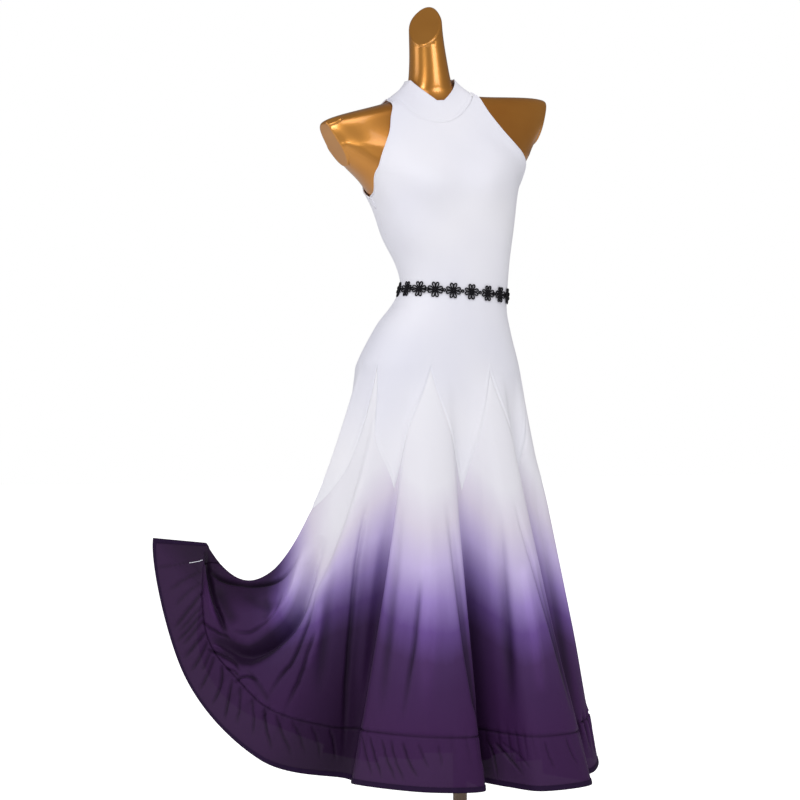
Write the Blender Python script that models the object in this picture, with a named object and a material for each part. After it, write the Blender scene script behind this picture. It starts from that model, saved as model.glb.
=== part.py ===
"""A ballroom dance dress worn by a limbless display form on a pole and base.

Metres, +Z up, the front of the bodice faces -Y.  The origin is where the pole's
axis meets the floor.  One side of the skirt is drawn out and up, as a dancer
holds it.
"""

import math

import bmesh
import bpy
from mathutils import Matrix, Vector

# Cloth
CLOTH = 0.0015
SEAM_GAP = 0.0004
NECK_GAP = 0.0044
POINT_GAP = 0.0030
FLOUNCE_GAP = 0.0007
GORE_TRIM = 0.0014
PANEL_TRIM = 0.06
FORM_CLEARANCE = 0.0042
SHOULDER_RISE = (1.30, 1.36)
NECK_RISE = (1.41, 1.45)
LACE = 0.0016
LACE_GAP = 0.0004

# Heights above the floor
APEX_Z = 0.879
POINT_DROP = 0.222
WAIST_Z = 1.031
FORM_FOOT_Z = 0.745

# The skirt: eight gores round the hip, each a full cone at the hem
GORES = 8
GORE_DEGREES = 360.0 / GORES
FRONT_SEAM = 3
SWAG_GORES = (0, 1)
HELD_LINE = 4
FLOUNCE_START = 0.872
FLOUNCE_GATHERS = 12
SWAG_GATHERS = 24
GATHER_HEIGHT = 0.0030
GATHER_HEM = 0.12
GATHERS_START = (0.05, 0.17)
SKIRT_TURNED = Matrix.Rotation(math.radians(-20.0), 3, "Z")
HEM_Z = 0.120

# Body sections, bottom to top.  z is the height, cx and cy the middle, half the
# half width, front and back the depths, roll the sideways tilt in degrees.
SECTION_COLUMNS = ("z", "cx", "cy", "half", "front", "back", "roll")
SECTIONS = (
    (0.700, -0.043, 0.008, 0.118, 0.070, 0.082, -3.0),
    (0.760, -0.043, 0.007, 0.150, 0.088, 0.106, -3.0),
    (0.820, -0.043, 0.006, 0.163, 0.096, 0.118, -3.0),
    (0.879, -0.041, 0.005, 0.162, 0.095, 0.118, -3.0),
    (0.955, -0.035, -0.002, 0.133, 0.086, 0.096, -3.0),
    (1.000, -0.026, -0.008, 0.111, 0.079, 0.081, -3.0),
    (1.036, -0.019, -0.010, 0.1035, 0.076, 0.075, -3.0),
    (1.080, -0.021, -0.008, 0.110, 0.081, 0.077, -1.5),
    (1.136, -0.029, -0.004, 0.128, 0.091, 0.084, 0.5),
    (1.202, -0.035, 0.000, 0.144, 0.099, 0.090, 3.0),
    (1.245, -0.039, 0.004, 0.164, 0.100, 0.093, 4.5),
    (1.283, -0.041, 0.008, 0.194, 0.092, 0.094, 6.0),
    (1.322, -0.042, 0.010, 0.226, 0.076, 0.090, 7.0),
    (1.354, -0.044, 0.011, 0.246, 0.062, 0.080, 7.5),
    (1.380, -0.047, 0.012, 0.244, 0.054, 0.070, 7.5),
    (1.391, -0.050, 0.012, 0.168, 0.050, 0.063, 7.0),
    (1.397, -0.053, 0.012, 0.110, 0.047, 0.058, 6.0),
    (1.404, -0.055, 0.012, 0.077, 0.045, 0.053, 5.0),
    (1.414, -0.057, 0.012, 0.054, 0.043, 0.047, 4.0),
    (1.430, -0.059, 0.011, 0.0445, 0.042, 0.043, 2.0),
    (1.468, -0.063, 0.009, 0.0390, 0.039, 0.039, 0.0),
    (1.525, -0.0695, 0.006, 0.0352, 0.0355, 0.0355, 0.0),
    (1.600, -0.0740, 0.003, 0.0340, 0.034, 0.034, 0.0),
)
SECTION_POWER = 2.25

# The bust's fullness under the stretched front
BUST_APART = 0.062
BUST_Z = 1.238
BUST_WIDE = 0.045
BUST_TALL = 0.048
BUST_OUT = 0.014

# The halter between its armholes, by height: its half width, and how far the
# middle of its front lies to the wearer's left of the body's
HALTER_COLUMNS = ("z", "half", "aside")
HALTER = (
    (1.185, 0.148, 0.000),
    (1.220, 0.150, 0.000),
    (1.255, 0.156, 0.000),
    (1.275, 0.148, -0.003),
    (1.297, 0.134, -0.011),
    (1.320, 0.119, -0.016),
    (1.345, 0.105, -0.018),
    (1.372, 0.094, -0.020),
    (1.400, 0.082, -0.016),
)
UNDERARM_Z = 1.192
UNDERARM_TURN = 0.03

# Neckline and stand collar
NECK_FRONT_Z = 1.3465
NECK_SIDE_Z = 1.402
NECK_BACK_Z = 1.408
NECK_CURVE = 1.75
COLLAR_HALF = 0.0485
COLLAR_DEPTH = 0.049
COLLAR_MIDDLE = (-0.0585, 0.012)
COLLAR_ROLL = 4.5
COLLAR_DIP_Z = 1.389
COLLAR_TOP_Z = 1.431
COLLAR_FLAT_DEGREES = 9.0
COLLAR_RISE_DEGREES = 74.0
COLLAR_WAIST = 0.0025
COLLAR_TRIM = 0.3

# The lines of each gore's fold, from the hip to the hem: the seam where it meets
# the gore before it, then its near cheek, its crown and its far cheek.  side,
# away and z are the hem end in the skirt's own turned frame, side to the
# wearer's left and away to the back.  ease is how late the line leaves the hip,
# 1 for a straight line, and sag how far it hangs below a straight line.
LINES = ("seam", "near", "crown", "far")
FOLD_COLUMNS = ("side", "away", "z", "ease", "sag")
FOLDS = (
    # gore 1: the back of the drawn-out side
    (-0.150, 0.075, 0.130, 1.70, 0.000),
    (-0.306, 0.138, 0.177, 1.20, 0.030),
    (-0.437, 0.138, 0.244, 1.20, 0.110),
    (-0.497, 0.103, 0.365, 1.25, 0.190),
    # gore 2: the front of the drawn-out side, up to the held corner
    (-0.481, 0.052, 0.554, 0.94, 0.204),
    (-0.581, 0.010, 0.566, 1.25, 0.274),
    (-0.523, -0.055, 0.314, 1.35, 0.170),
    (-0.384, -0.119, 0.163, 1.20, 0.050),
    # gore 3: the left front cone
    (-0.222, -0.081, 0.121, 1.70, 0.000),
    (-0.210, -0.182, 0.124, 1.15, 0.000),
    (-0.091, -0.262, 0.120, 1.05, 0.000),
    (0.021, -0.216, 0.114, 1.15, 0.000),
    # gore 4: the right front cone
    (-0.006, -0.100, 0.120, 1.70, 0.000),
    (0.070, -0.165, 0.114, 1.15, 0.000),
    (0.133, -0.212, 0.112, 1.05, 0.000),
    (0.230, -0.141, 0.114, 1.15, 0.000),
    # gore 5: the wearer's left
    (0.150, -0.064, 0.124, 1.70, 0.000),
    (0.240, -0.041, 0.118, 1.08, 0.000),
    (0.268, 0.027, 0.134, 1.04, 0.000),
    (0.236, 0.100, 0.130, 1.10, 0.000),
    # gore 6: behind the wearer's left
    (0.118, 0.070, 0.128, 1.70, 0.000),
    (0.172, 0.145, 0.124, 1.15, 0.000),
    (0.178, 0.215, 0.122, 1.05, 0.000),
    (0.108, 0.238, 0.122, 1.15, 0.000),
    # gore 7: the middle of the back
    (0.062, 0.110, 0.126, 1.70, 0.000),
    (0.034, 0.228, 0.122, 1.15, 0.000),
    (-0.020, 0.268, 0.120, 1.05, 0.000),
    (-0.075, 0.240, 0.122, 1.15, 0.000),
    # gore 8: behind the wearer's right
    (-0.060, 0.112, 0.128, 1.70, 0.000),
    (-0.141, 0.190, 0.124, 1.15, 0.000),
    (-0.205, 0.225, 0.124, 1.05, 0.000),
    (-0.246, 0.190, 0.134, 1.15, 0.000),
)

# The form, its pole and its base
NECK_CUT_AT = (-0.064, 0.004, 1.535)
NECK_CUT_FACING = (-0.518, -0.631, 0.574)
ARM_CUT_HALF = 0.210
ARM_CUT_Z = 1.318
ARM_CUT_DOWN = 0.42
ARM_CUT_ABOVE = 1.15
POLE_RADIUS = 0.0133
BASE_RADIUS = 0.180
BASE_HEIGHT = 0.008
BASE_BEVEL = 0.002
SOCKET_RADIUS = 0.026
SOCKET_HEIGHT = 0.034
BASE_SIDES = 48
ROD_SIDES = 24
PIECE_GAP = 0.0003

# The lace belt: a chain of flowers
BELT_FLOWERS = 18
BELT_TRIM = 0.1
BELT_STEPS = 8
BELT_PROFILE = (0.0020, 0.0055, 0.0130, 0.0125, 0.0105, 0.0125, 0.0130, 0.0055)
BELT_HALF = 0.0140

# Mesh fineness
FRONT_COLUMNS = 32
BACK_COLUMNS = 16
GORE_COLUMNS = 12
GORE_ROWS = 6
SWAG_COLUMNS = 24
SWAG_ROWS = 8
FLOUNCE_ROWS = 2
BODICE_ROWS = (4, 3, 1, 13)
HIP_ROW_LEAST = 0.012
TOP_ROWS_CLOSER = 1.4
COLLAR_COLUMNS = 48
COLLAR_ROWS = 2
FORM_SIDES = 28
STEP = 0.0001
TURN_STEP = 0.25
HEIGHT_STEP = 0.002
LENGTH_STEP = 0.01

# Materials: colour, roughness, metallic
FINISHES = {
    "bodice_jersey": ((0.86, 0.86, 0.90), 0.55, 0.0),
    "skirt_chiffon": ((0.30, 0.16, 0.42), 0.60, 0.0),
    "flounce_chiffon": ((0.10, 0.03, 0.15), 0.60, 0.0),
    "lace": ((0.015, 0.015, 0.018), 0.70, 0.0),
    "form_gold": ((0.62, 0.34, 0.10), 0.28, 0.85),
    "pole_steel": ((0.30, 0.24, 0.20), 0.35, 0.9),
}


def clear_scene():
    """Remove whatever the file opened with."""
    for item in list(bpy.data.objects):
        bpy.data.objects.remove(item)


def finish(name):
    """The material of that name, made once."""
    found = bpy.data.materials.get(name)
    if found:
        return found
    colour, roughness, metallic = FINISHES[name]
    made = bpy.data.materials.new(name)
    made.use_nodes = True
    shader = made.node_tree.nodes["Principled BSDF"]
    shader.inputs["Base Color"].default_value = (*colour, 1.0)
    shader.inputs["Roughness"].default_value = roughness
    shader.inputs["Metallic"].default_value = metallic
    return made


def add_object(name, mesh_data, finish_name):
    """Put a bmesh into the scene as one named object."""
    bmesh.ops.recalc_face_normals(mesh_data, faces=mesh_data.faces)
    if mesh_data.calc_volume(signed=True) < 0:
        bmesh.ops.reverse_faces(mesh_data, faces=mesh_data.faces)
    mesh = bpy.data.meshes.new(name)
    mesh_data.to_mesh(mesh)
    mesh_data.free()
    mesh.shade_smooth()
    mesh.set_sharp_from_angle(angle=math.radians(40))
    mesh.materials.append(finish(finish_name))
    made = bpy.data.objects.new(name, mesh)
    bpy.context.scene.collection.objects.link(made)
    return made


def clamp(value, low=0.0, high=1.0):
    return max(low, min(high, value))


def smooth(value, low, high):
    """0 below low, 1 above high and smooth between them."""
    share = clamp((value - low) / (high - low))
    return share * share * (3 - 2 * share)


def catmull(a, b, c, d, t):
    """Point at t between b and c on a Catmull-Rom curve, for numbers or Vectors."""
    return b + 0.5 * t * ((c - a) + t * ((2 * a - 5 * b + 4 * c - d) + t * (3 * (b - c) + d - a)))


def table_value(rows, column, place):
    """A column of a table at a fractional row number, on a smooth curve."""
    last = len(rows) - 1
    row = min(int(clamp(place, 0, last)), last - 1)
    picks = [rows[int(clamp(row + k, 0, last))][column] for k in (-1, 0, 1, 2)]
    return catmull(*picks, clamp(place, 0, last) - row)


def table_place(rows, height):
    """The fractional row number at which a table's first column reaches a height."""
    low, high = 0.0, float(len(rows) - 1)
    for _ in range(40):
        middle = (low + high) / 2
        if table_value(rows, 0, middle) < height:
            low = middle
        else:
            high = middle
    return low


def section(height=None, place=None):
    """The body's section at a height, as a dictionary of its columns."""
    if place is None:
        place = table_place(SECTIONS, height)
    return {name: table_value(SECTIONS, k, place) for k, name in enumerate(SECTION_COLUMNS)}


def bust(x, height):
    """How far the front is pushed out at a place on it."""
    tall = ((height - BUST_Z) / BUST_TALL) ** 2
    wide = [((x - side * BUST_APART) / BUST_WIDE) ** 2 for side in (-1, 1)]
    return BUST_OUT * sum(math.exp(-w - tall) for w in wide)


def body_point(cut, x, behind, out=0.0):
    """The body's surface at x from its middle, in front or behind, out by a distance."""
    half = cut["half"] + out
    depth = (cut["back"] if behind else cut["front"]) + out
    share = clamp(abs(x) / half)
    y = depth * (1 - share**SECTION_POWER) ** (1 / SECTION_POWER)
    if not behind:
        y += bust(x, cut["z"]) * (y / depth)
    return Vector((
        cut["cx"] + x,
        cut["cy"] + (y if behind else -y),
        cut["z"] + x * math.tan(math.radians(cut["roll"])),
    ))


def halter(height, cut):
    """The half width that the bodice covers at a height, and how far aside it lies."""
    if height <= UNDERARM_Z:
        return cut["half"], 0.0
    place = table_place(HALTER, height)
    wide, aside = (table_value(HALTER, HALTER_COLUMNS.index(name), place) for name in ("half", "aside"))
    blend = clamp((height - UNDERARM_Z) / UNDERARM_TURN)
    return min(cut["half"], cut["half"] * (1 - blend) + wide * blend), aside * blend


def bodice_point(degrees, height):
    """The bodice's inner face.  degrees runs from -180 to 180, 0 at the front."""
    behind = abs(degrees) > 90.0
    cut = section(height)
    half, aside = halter(height, cut)
    middle = 0.0 if behind else aside
    x = clamp(middle + half * math.sin(math.radians(degrees)), -cut["half"], cut["half"])
    return body_point(cut, x, behind)


def fold_line(number):
    """One line of a fold: its hem end in the dress's frame, its ease and its sag."""
    line = dict(zip(FOLD_COLUMNS, FOLDS[number % len(FOLDS)]))
    end = SKIRT_TURNED @ Vector((line["side"], line["away"], line["z"]))
    return end, line["ease"], line["sag"]


def fold_at(around):
    """The hem end, ease and sag at a place round the skirt, 0 to 8 gores.

    The hem is straight along its held edge and curved everywhere else.
    """
    place = around * len(LINES)
    first = math.floor(place)
    picks = [fold_line(first + k) for k in (-1, 0, 1, 2)]
    if first % len(FOLDS) == HELD_LINE:
        return [one + (other - one) * (place - first) for one, other in zip(picks[1], picks[2])]
    return [catmull(*[pick[k] for pick in picks], place - first) for k in range(3)]


def skirt_point(around, down):
    """The skirt's inner face, around 0 to 8 gores and down 0 at the hip to 1 at the hem."""
    degrees = (around - FRONT_SEAM) * GORE_DEGREES
    degrees = (degrees + 180.0) % 360.0 - 180.0
    hip = bodice_point(degrees, APEX_Z)
    hem, ease, sag = fold_at(around)
    share = down**ease
    point = hip.lerp(hem, share)
    point.z = hip.z + (hem.z - hip.z) * down - sag * 4 * down * (1 - down)
    return point


def point_share(around):
    """0 at a gore's tip, 1 at the points of the bodice between the gores."""
    return abs(2 * (around % 1.0) - 1)


def seam_down(around):
    """How far down the skirt the zigzag seam lies."""
    return POINT_DROP * point_share(around) / (APEX_Z - HEM_Z)


def lower_bodice_point(degrees, height):
    """The bodice's inner face down to its points, which lie on the skirt's surface."""
    if height >= APEX_Z:
        return bodice_point(degrees, height)
    return skirt_point(degrees / GORE_DEGREES + FRONT_SEAM, (APEX_Z - height) / (APEX_Z - HEM_Z))


def placed(surface, a, b, step_a=STEP, step_b=STEP):
    """A surface's point and the normal between its two directions."""
    one = surface(a + step_a, b) - surface(a - step_a, b)
    other = surface(a, b + step_b) - surface(a, b - step_b)
    return surface(a, b), one.cross(other).normalized()


def cloth_wall(name, columns, rows, place, finish_name):
    """A closed wall of cloth: a grid laid on a surface and thickened outwards."""
    work = bmesh.new()
    bmesh.ops.create_grid(work, x_segments=columns, y_segments=rows, size=0.5)
    grown = bmesh.ops.extrude_face_region(work, geom=work.faces[:], use_keep_orig=True)
    outer = {item for item in grown["geom"] if isinstance(item, bmesh.types.BMVert)}
    for vert in work.verts:
        point, outward = place(clamp(vert.co.x + 0.5), clamp(vert.co.y + 0.5))
        vert.co = point + outward * (CLOTH if vert in outer else 0.0)
    return add_object(name, work, finish_name)


def neckline_z(degrees):
    """The height of the collar seam round the neck."""
    turn = math.radians(abs(degrees))
    if abs(degrees) <= 90:
        return NECK_FRONT_Z + (NECK_SIDE_Z - NECK_FRONT_Z) * math.sin(turn) ** NECK_CURVE
    return NECK_SIDE_Z + (NECK_BACK_Z - NECK_SIDE_Z) * -math.cos(turn)


def row_height(low, high, along):
    """A row's height: rows share out the points, the hip, the belt and the top."""
    hip = max(APEX_Z, low + HIP_ROW_LEAST)
    stops = (low, hip, WAIST_Z - BELT_HALF, WAIST_Z + BELT_HALF)
    row = along * sum(BODICE_ROWS)
    for start, stop, count in zip(stops, stops[1:], BODICE_ROWS):
        if row <= count:
            return start + (stop - start) * row / count
        row -= count
    share = 1 - (1 - clamp(row / BODICE_ROWS[-1])) ** TOP_ROWS_CLOSER
    return stops[-1] + (high - stops[-1]) * share


def bodice_panel(name, first, last, columns):
    """A bodice panel between two angles, from its zigzag edge up to the neckline."""

    def place(across, along):
        degrees = first + PANEL_TRIM + (last - first - 2 * PANEL_TRIM) * across
        around = degrees / GORE_DEGREES + FRONT_SEAM
        low = APEX_Z - POINT_DROP * point_share(around) + POINT_GAP
        high = neckline_z(degrees) - SEAM_GAP - NECK_GAP * math.sin(math.radians(degrees)) ** 2
        return placed(lower_bodice_point, degrees, row_height(low, high, along), TURN_STEP, HEIGHT_STEP)

    return cloth_wall(name, columns, sum(BODICE_ROWS), place, "bodice_jersey")


def gore(index):
    """One gore, from the zigzag seam down to the flounce."""
    swag = index in SWAG_GORES

    def place(across, along):
        around = index + GORE_TRIM + (1 - 2 * GORE_TRIM) * across
        top = seam_down(around) + POINT_GAP / (APEX_Z - HEM_Z)
        down = top + (FLOUNCE_START - FLOUNCE_GAP - top) * (1 - along)
        point, inward = placed(skirt_point, around, down)
        return point, -inward

    columns = SWAG_COLUMNS if swag else GORE_COLUMNS
    rows = SWAG_ROWS if swag else GORE_ROWS
    return cloth_wall(f"gore_{index + 1}", columns, rows, place, "skirt_chiffon")


def flounce(index):
    """One gore's width of the gathered flounce along the hem."""
    gathers = SWAG_GATHERS if index in SWAG_GORES else FLOUNCE_GATHERS

    def place(across, along):
        around = index + GORE_TRIM + (1 - 2 * GORE_TRIM) * across
        down = FLOUNCE_START + FLOUNCE_GAP + (1 - FLOUNCE_START - FLOUNCE_GAP) * (1 - along)
        point, inward = placed(skirt_point, around, down)
        wave = 0.5 - 0.5 * math.cos(2 * math.pi * gathers * across)
        from_side = 0.5 - abs(across - 0.5)
        flat = smooth(from_side, *GATHERS_START)
        depth = math.sin(math.pi * (GATHER_HEM + (1 - GATHER_HEM) * along))
        return point - inward * GATHER_HEIGHT * wave * depth * flat, -inward

    return cloth_wall(f"flounce_{index + 1}", 2 * gathers, FLOUNCE_ROWS, place, "flounce_chiffon")


def collar_edge(degrees, top):
    """A point on the collar's lower or upper edge."""
    if not top:
        return bodice_point(degrees, neckline_z(degrees) + SEAM_GAP)
    turn = math.radians(degrees)
    rise = clamp((abs(degrees) - COLLAR_FLAT_DEGREES) / (COLLAR_RISE_DEGREES - COLLAR_FLAT_DEGREES))
    x = COLLAR_HALF * math.sin(turn)
    height = COLLAR_DIP_Z + (COLLAR_TOP_Z - COLLAR_DIP_Z) * rise
    height += x * math.tan(math.radians(COLLAR_ROLL))
    return Vector((COLLAR_MIDDLE[0] + x, COLLAR_MIDDLE[1] - COLLAR_DEPTH * math.cos(turn), height))


def collar_point(degrees, up):
    """The collar's inner face between its two edges, drawn in a little half way."""
    point = collar_edge(degrees, False).lerp(collar_edge(degrees, True), up)
    middle = Vector((COLLAR_MIDDLE[0], COLLAR_MIDDLE[1], point.z))
    inward = (middle - point).normalized()
    return point + inward * COLLAR_WAIST * 4 * up * (1 - up)


def collar():
    """The stand collar, open at the centre back."""

    def place(across, along):
        degrees = (2 * across - 1) * (180.0 - COLLAR_TRIM)
        return placed(collar_point, degrees, along, TURN_STEP, LENGTH_STEP)

    return cloth_wall("collar", COLLAR_COLUMNS, COLLAR_ROWS, place, "bodice_jersey")


def belt_point(degrees, height, out):
    """A point on the belt: the straight line between the bodice's rows, moved out."""
    ends = []
    for end in (WAIST_Z - BELT_HALF, WAIST_Z + BELT_HALF):
        cut = section(end)
        x = (cut["half"] + out) * math.sin(math.radians(degrees))
        ends.append(body_point(cut, x, degrees > 90.0, out))
    return ends[0].lerp(ends[1], (height + BELT_HALF) / (2 * BELT_HALF))


def belt(name, first, last):
    """One stretch of the lace belt, whose two edges follow a chain of flowers."""
    steps = BELT_STEPS * BELT_FLOWERS // 2
    work = bmesh.new()
    bmesh.ops.create_grid(work, x_segments=steps, y_segments=1, size=0.5)
    grown = bmesh.ops.extrude_face_region(work, geom=work.faces[:], use_keep_orig=True)
    outer = {item for item in grown["geom"] if isinstance(item, bmesh.types.BMVert)}
    for vert in work.verts:
        step = round((vert.co.x + 0.5) * steps)
        degrees = first + BELT_TRIM + (last - first - 2 * BELT_TRIM) * step / steps
        height = math.copysign(BELT_PROFILE[step % BELT_STEPS], vert.co.y)
        out = CLOTH + LACE_GAP + (LACE if vert in outer else 0.0)
        vert.co = belt_point(degrees, height, out)
    return add_object(name, work, "lace")


def cut_by(work, at, facing, above=0.0):
    """Cut a solid by a plane above a height, keep what lies behind and close it flat."""
    high = [vert for vert in work.verts if vert.co.z > above]
    kept = set(high)
    sides = [item for item in work.edges[:] + work.faces[:] if kept.issuperset(item.verts)]
    cut = bmesh.ops.bisect_plane(
        work,
        geom=high + sides,
        plane_co=at,
        plane_no=facing,
        clear_outer=True,
    )
    rim = [item for item in cut["geom_cut"] if isinstance(item, bmesh.types.BMEdge)]
    bmesh.ops.edgenet_fill(work, edges=rim)


def form():
    """The display form: torso, cut shoulders and neck, as one smooth solid."""
    work = bmesh.new()
    rings = []
    for step in range(2 * len(SECTIONS) - 1):
        cut = section(place=step / 2)
        if cut["z"] < FORM_FOOT_Z - 0.02 or (step % 2 and cut["z"] > HALTER[0][0]):
            continue
        ring = []
        settle = smooth(cut["z"], *SHOULDER_RISE) - smooth(cut["z"], *NECK_RISE)
        for k in range(FORM_SIDES):
            turn = 2 * math.pi * k / FORM_SIDES
            x = (cut["half"] - FORM_CLEARANCE) * math.sin(turn)
            point = body_point(cut, x, math.cos(turn) < 0, -FORM_CLEARANCE)
            point.z -= FORM_CLEARANCE * settle
            ring.append(work.verts.new(point))
        rings.append([work.edges.new((ring[k], ring[(k + 1) % FORM_SIDES])) for k in range(FORM_SIDES)])
    for low, high in zip(rings, rings[1:]):
        bmesh.ops.bridge_loops(work, edges=low + high)
    bmesh.ops.edgenet_fill(work, edges=rings[0])
    bmesh.ops.edgenet_fill(work, edges=rings[-1])
    bmesh.ops.recalc_face_normals(work, faces=work.faces)
    cut_by(work, Vector((0, 0, FORM_FOOT_Z)), Vector((0, 0, -1)))
    cut_by(work, Vector(NECK_CUT_AT), Vector(NECK_CUT_FACING))
    middle = section(ARM_CUT_Z)
    for side in (-1, 1):
        at = body_point(middle, side * ARM_CUT_HALF, False)
        at.y = middle["cy"]
        roll = Matrix.Rotation(math.radians(-middle["roll"]), 3, "Y")
        cut_by(work, at, roll @ Vector((side, 0, -ARM_CUT_DOWN)).normalized(), ARM_CUT_ABOVE)
    bmesh.ops.remove_doubles(work, verts=work.verts, dist=1e-5)
    return add_object("form", work, "form_gold")


def rod(name, radius, low, high, sides, finish_name, bevel=0.0):
    """An upright round rod or plate on the pole's axis."""
    work = bmesh.new()
    at = Matrix.Translation((0, 0, (low + high) / 2))
    bmesh.ops.create_cone(
        work, cap_ends=True, segments=sides, radius1=radius, radius2=radius, depth=high - low, matrix=at
    )
    if bevel:
        rim = [edge for edge in work.edges if all(vert.co.z > (low + high) / 2 for vert in edge.verts)]
        bmesh.ops.bevel(work, geom=rim, offset=bevel, segments=1, profile=0.5, affect="EDGES", material=-1)
    return add_object(name, work, finish_name)


def stand():
    """The base plate, its socket and the pole."""
    rod("base", BASE_RADIUS, 0.0, BASE_HEIGHT, BASE_SIDES, "pole_steel", BASE_BEVEL)
    socket_foot = BASE_HEIGHT + PIECE_GAP
    socket_head = socket_foot + SOCKET_HEIGHT
    rod("socket", SOCKET_RADIUS, socket_foot, socket_head, ROD_SIDES, "pole_steel", BASE_BEVEL)
    rod("pole", POLE_RADIUS, socket_head + PIECE_GAP, FORM_FOOT_Z - PIECE_GAP, ROD_SIDES, "pole_steel")


def main():
    clear_scene()
    stand()
    form()
    bodice_panel("bodice_front", -90.0, 90.0, FRONT_COLUMNS)
    bodice_panel("bodice_back_left", 90.0, 180.0, BACK_COLUMNS)
    bodice_panel("bodice_back_right", -180.0, -90.0, BACK_COLUMNS)
    collar()
    belt("belt_front", -90.0, 90.0)
    belt("belt_back", 90.0, 270.0)
    for index in range(GORES):
        gore(index)
        flounce(index)


main()
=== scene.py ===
"""Ballroom dance dress on a display form: cloth, lace, form, stand and stage."""

import math

import bmesh
import bpy
import numpy as np
from mathutils import Matrix, Vector


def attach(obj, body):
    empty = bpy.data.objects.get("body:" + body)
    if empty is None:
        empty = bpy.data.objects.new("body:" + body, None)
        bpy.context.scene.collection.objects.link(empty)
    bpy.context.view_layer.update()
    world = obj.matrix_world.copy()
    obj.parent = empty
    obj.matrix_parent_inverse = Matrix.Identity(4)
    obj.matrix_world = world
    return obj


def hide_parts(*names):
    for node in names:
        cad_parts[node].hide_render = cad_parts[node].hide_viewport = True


bl_info = {
    "name": "Ballroom Dance Dress",
    "version": (1, 0, 0),
    "blender": (4, 5, 0),
    "location": "View3D > Sidebar > Dress",
    "description": "Builds a halter ballroom dress with an ombre skirt on a display form",
    "category": "Add Mesh",
}

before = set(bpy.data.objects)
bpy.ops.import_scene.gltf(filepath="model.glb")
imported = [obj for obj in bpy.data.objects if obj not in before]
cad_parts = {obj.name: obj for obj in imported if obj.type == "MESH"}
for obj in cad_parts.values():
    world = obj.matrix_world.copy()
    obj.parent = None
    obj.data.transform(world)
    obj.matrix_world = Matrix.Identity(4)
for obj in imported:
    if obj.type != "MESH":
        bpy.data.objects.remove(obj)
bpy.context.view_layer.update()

# Heights above the floor
APEX_Z = 0.879
POINT_DROP = 0.222
WAIST_Z = 1.031
FORM_FOOT_Z = 0.745
HEM_Z = 0.120

# Cloth: its wall, and how far the fine cloth's face lies outside the plain one
CLOTH = 0.0015
FACE_OUT = CLOTH * 0.6

# The skirt
GORES = 8
GORE_DEGREES = 360.0 / GORES
FRONT_SEAM = 3
SKIRT_TURN = math.radians(-20.0)
SWAG_GORES = (0, 1)
# The straight held edge runs from this row of FOLDS to the next
HELD_LINE = 4
# The flounce's seam: how far down it lies, its course on the drawn-out side, laid
# as the creases below are, and how far the gore is tucked under the flounce
FLOUNCE_START = 0.872
FLOUNCE_SEAM = (
    (203, 561),
    (203, 590),
    (204, 622),
    (212, 649),
    (237, 678),
    (264, 706),
    (298, 720),
    (340, 729),
)
HELD_STITCH = ((189, 563), (196, 562), (202, 561))
TUCK = 0.005
# How near to a gore's edge its slope is taken, so that it doesn't cross the seam
GORE_EDGE = 0.004

# Body sections, bottom to top: height, middle, half width, depths, roll in degrees
SECTION_COLUMNS = ("z", "cx", "cy", "half", "front", "back", "roll")
SECTIONS = (
    (0.700, -0.043, 0.008, 0.118, 0.070, 0.082, -3.0),
    (0.760, -0.043, 0.007, 0.150, 0.088, 0.106, -3.0),
    (0.820, -0.043, 0.006, 0.163, 0.096, 0.118, -3.0),
    (0.879, -0.041, 0.005, 0.162, 0.095, 0.118, -3.0),
    (0.955, -0.035, -0.002, 0.133, 0.086, 0.096, -3.0),
    (1.000, -0.026, -0.008, 0.111, 0.079, 0.081, -3.0),
    (1.036, -0.019, -0.010, 0.1035, 0.076, 0.075, -3.0),
    (1.080, -0.021, -0.008, 0.110, 0.081, 0.077, -1.5),
    (1.136, -0.029, -0.004, 0.128, 0.091, 0.084, 0.5),
    (1.202, -0.035, 0.000, 0.144, 0.099, 0.090, 3.0),
    (1.245, -0.039, 0.004, 0.164, 0.100, 0.093, 4.5),
    (1.283, -0.041, 0.008, 0.194, 0.092, 0.094, 6.0),
    (1.322, -0.042, 0.010, 0.226, 0.076, 0.090, 7.0),
    (1.354, -0.044, 0.011, 0.246, 0.062, 0.080, 7.5),
    (1.380, -0.047, 0.012, 0.244, 0.054, 0.070, 7.5),
    (1.391, -0.050, 0.012, 0.168, 0.050, 0.063, 7.0),
    (1.397, -0.053, 0.012, 0.110, 0.047, 0.058, 6.0),
    (1.404, -0.055, 0.012, 0.077, 0.045, 0.053, 5.0),
    (1.414, -0.057, 0.012, 0.054, 0.043, 0.047, 4.0),
    (1.430, -0.059, 0.011, 0.0445, 0.042, 0.043, 2.0),
    (1.468, -0.063, 0.009, 0.0390, 0.039, 0.039, 0.0),
    (1.525, -0.0695, 0.006, 0.0352, 0.0355, 0.0355, 0.0),
    (1.600, -0.0740, 0.003, 0.0340, 0.034, 0.034, 0.0),
)
SECTION_POWER = 2.25
BUST_APART = 0.062
BUST_Z = 1.238
BUST_WIDE = 0.045
BUST_TALL = 0.048
BUST_OUT = 0.014

# The halter by height: its half width, and how far aside its middle lies
HALTER = (
    (1.185, 0.148, 0.000),
    (1.220, 0.150, 0.000),
    (1.255, 0.156, 0.000),
    (1.275, 0.148, -0.003),
    (1.297, 0.134, -0.011),
    (1.320, 0.119, -0.016),
    (1.345, 0.105, -0.018),
    (1.372, 0.094, -0.020),
    (1.400, 0.082, -0.016),
)
UNDERARM_Z = 1.192
UNDERARM_TURN = 0.03
# The back halter is narrower than the front, from just above the underarm
BACK_NARROW = 0.14
BACK_NARROW_ABOVE = (0.020, 0.058)
BACK_NARROW_BELOW_COLLAR = (0.005, 0.06)
# Degrees from 90 that tell the front edge of an armhole from its back edge
EDGE_NUDGE = 0.02

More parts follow.
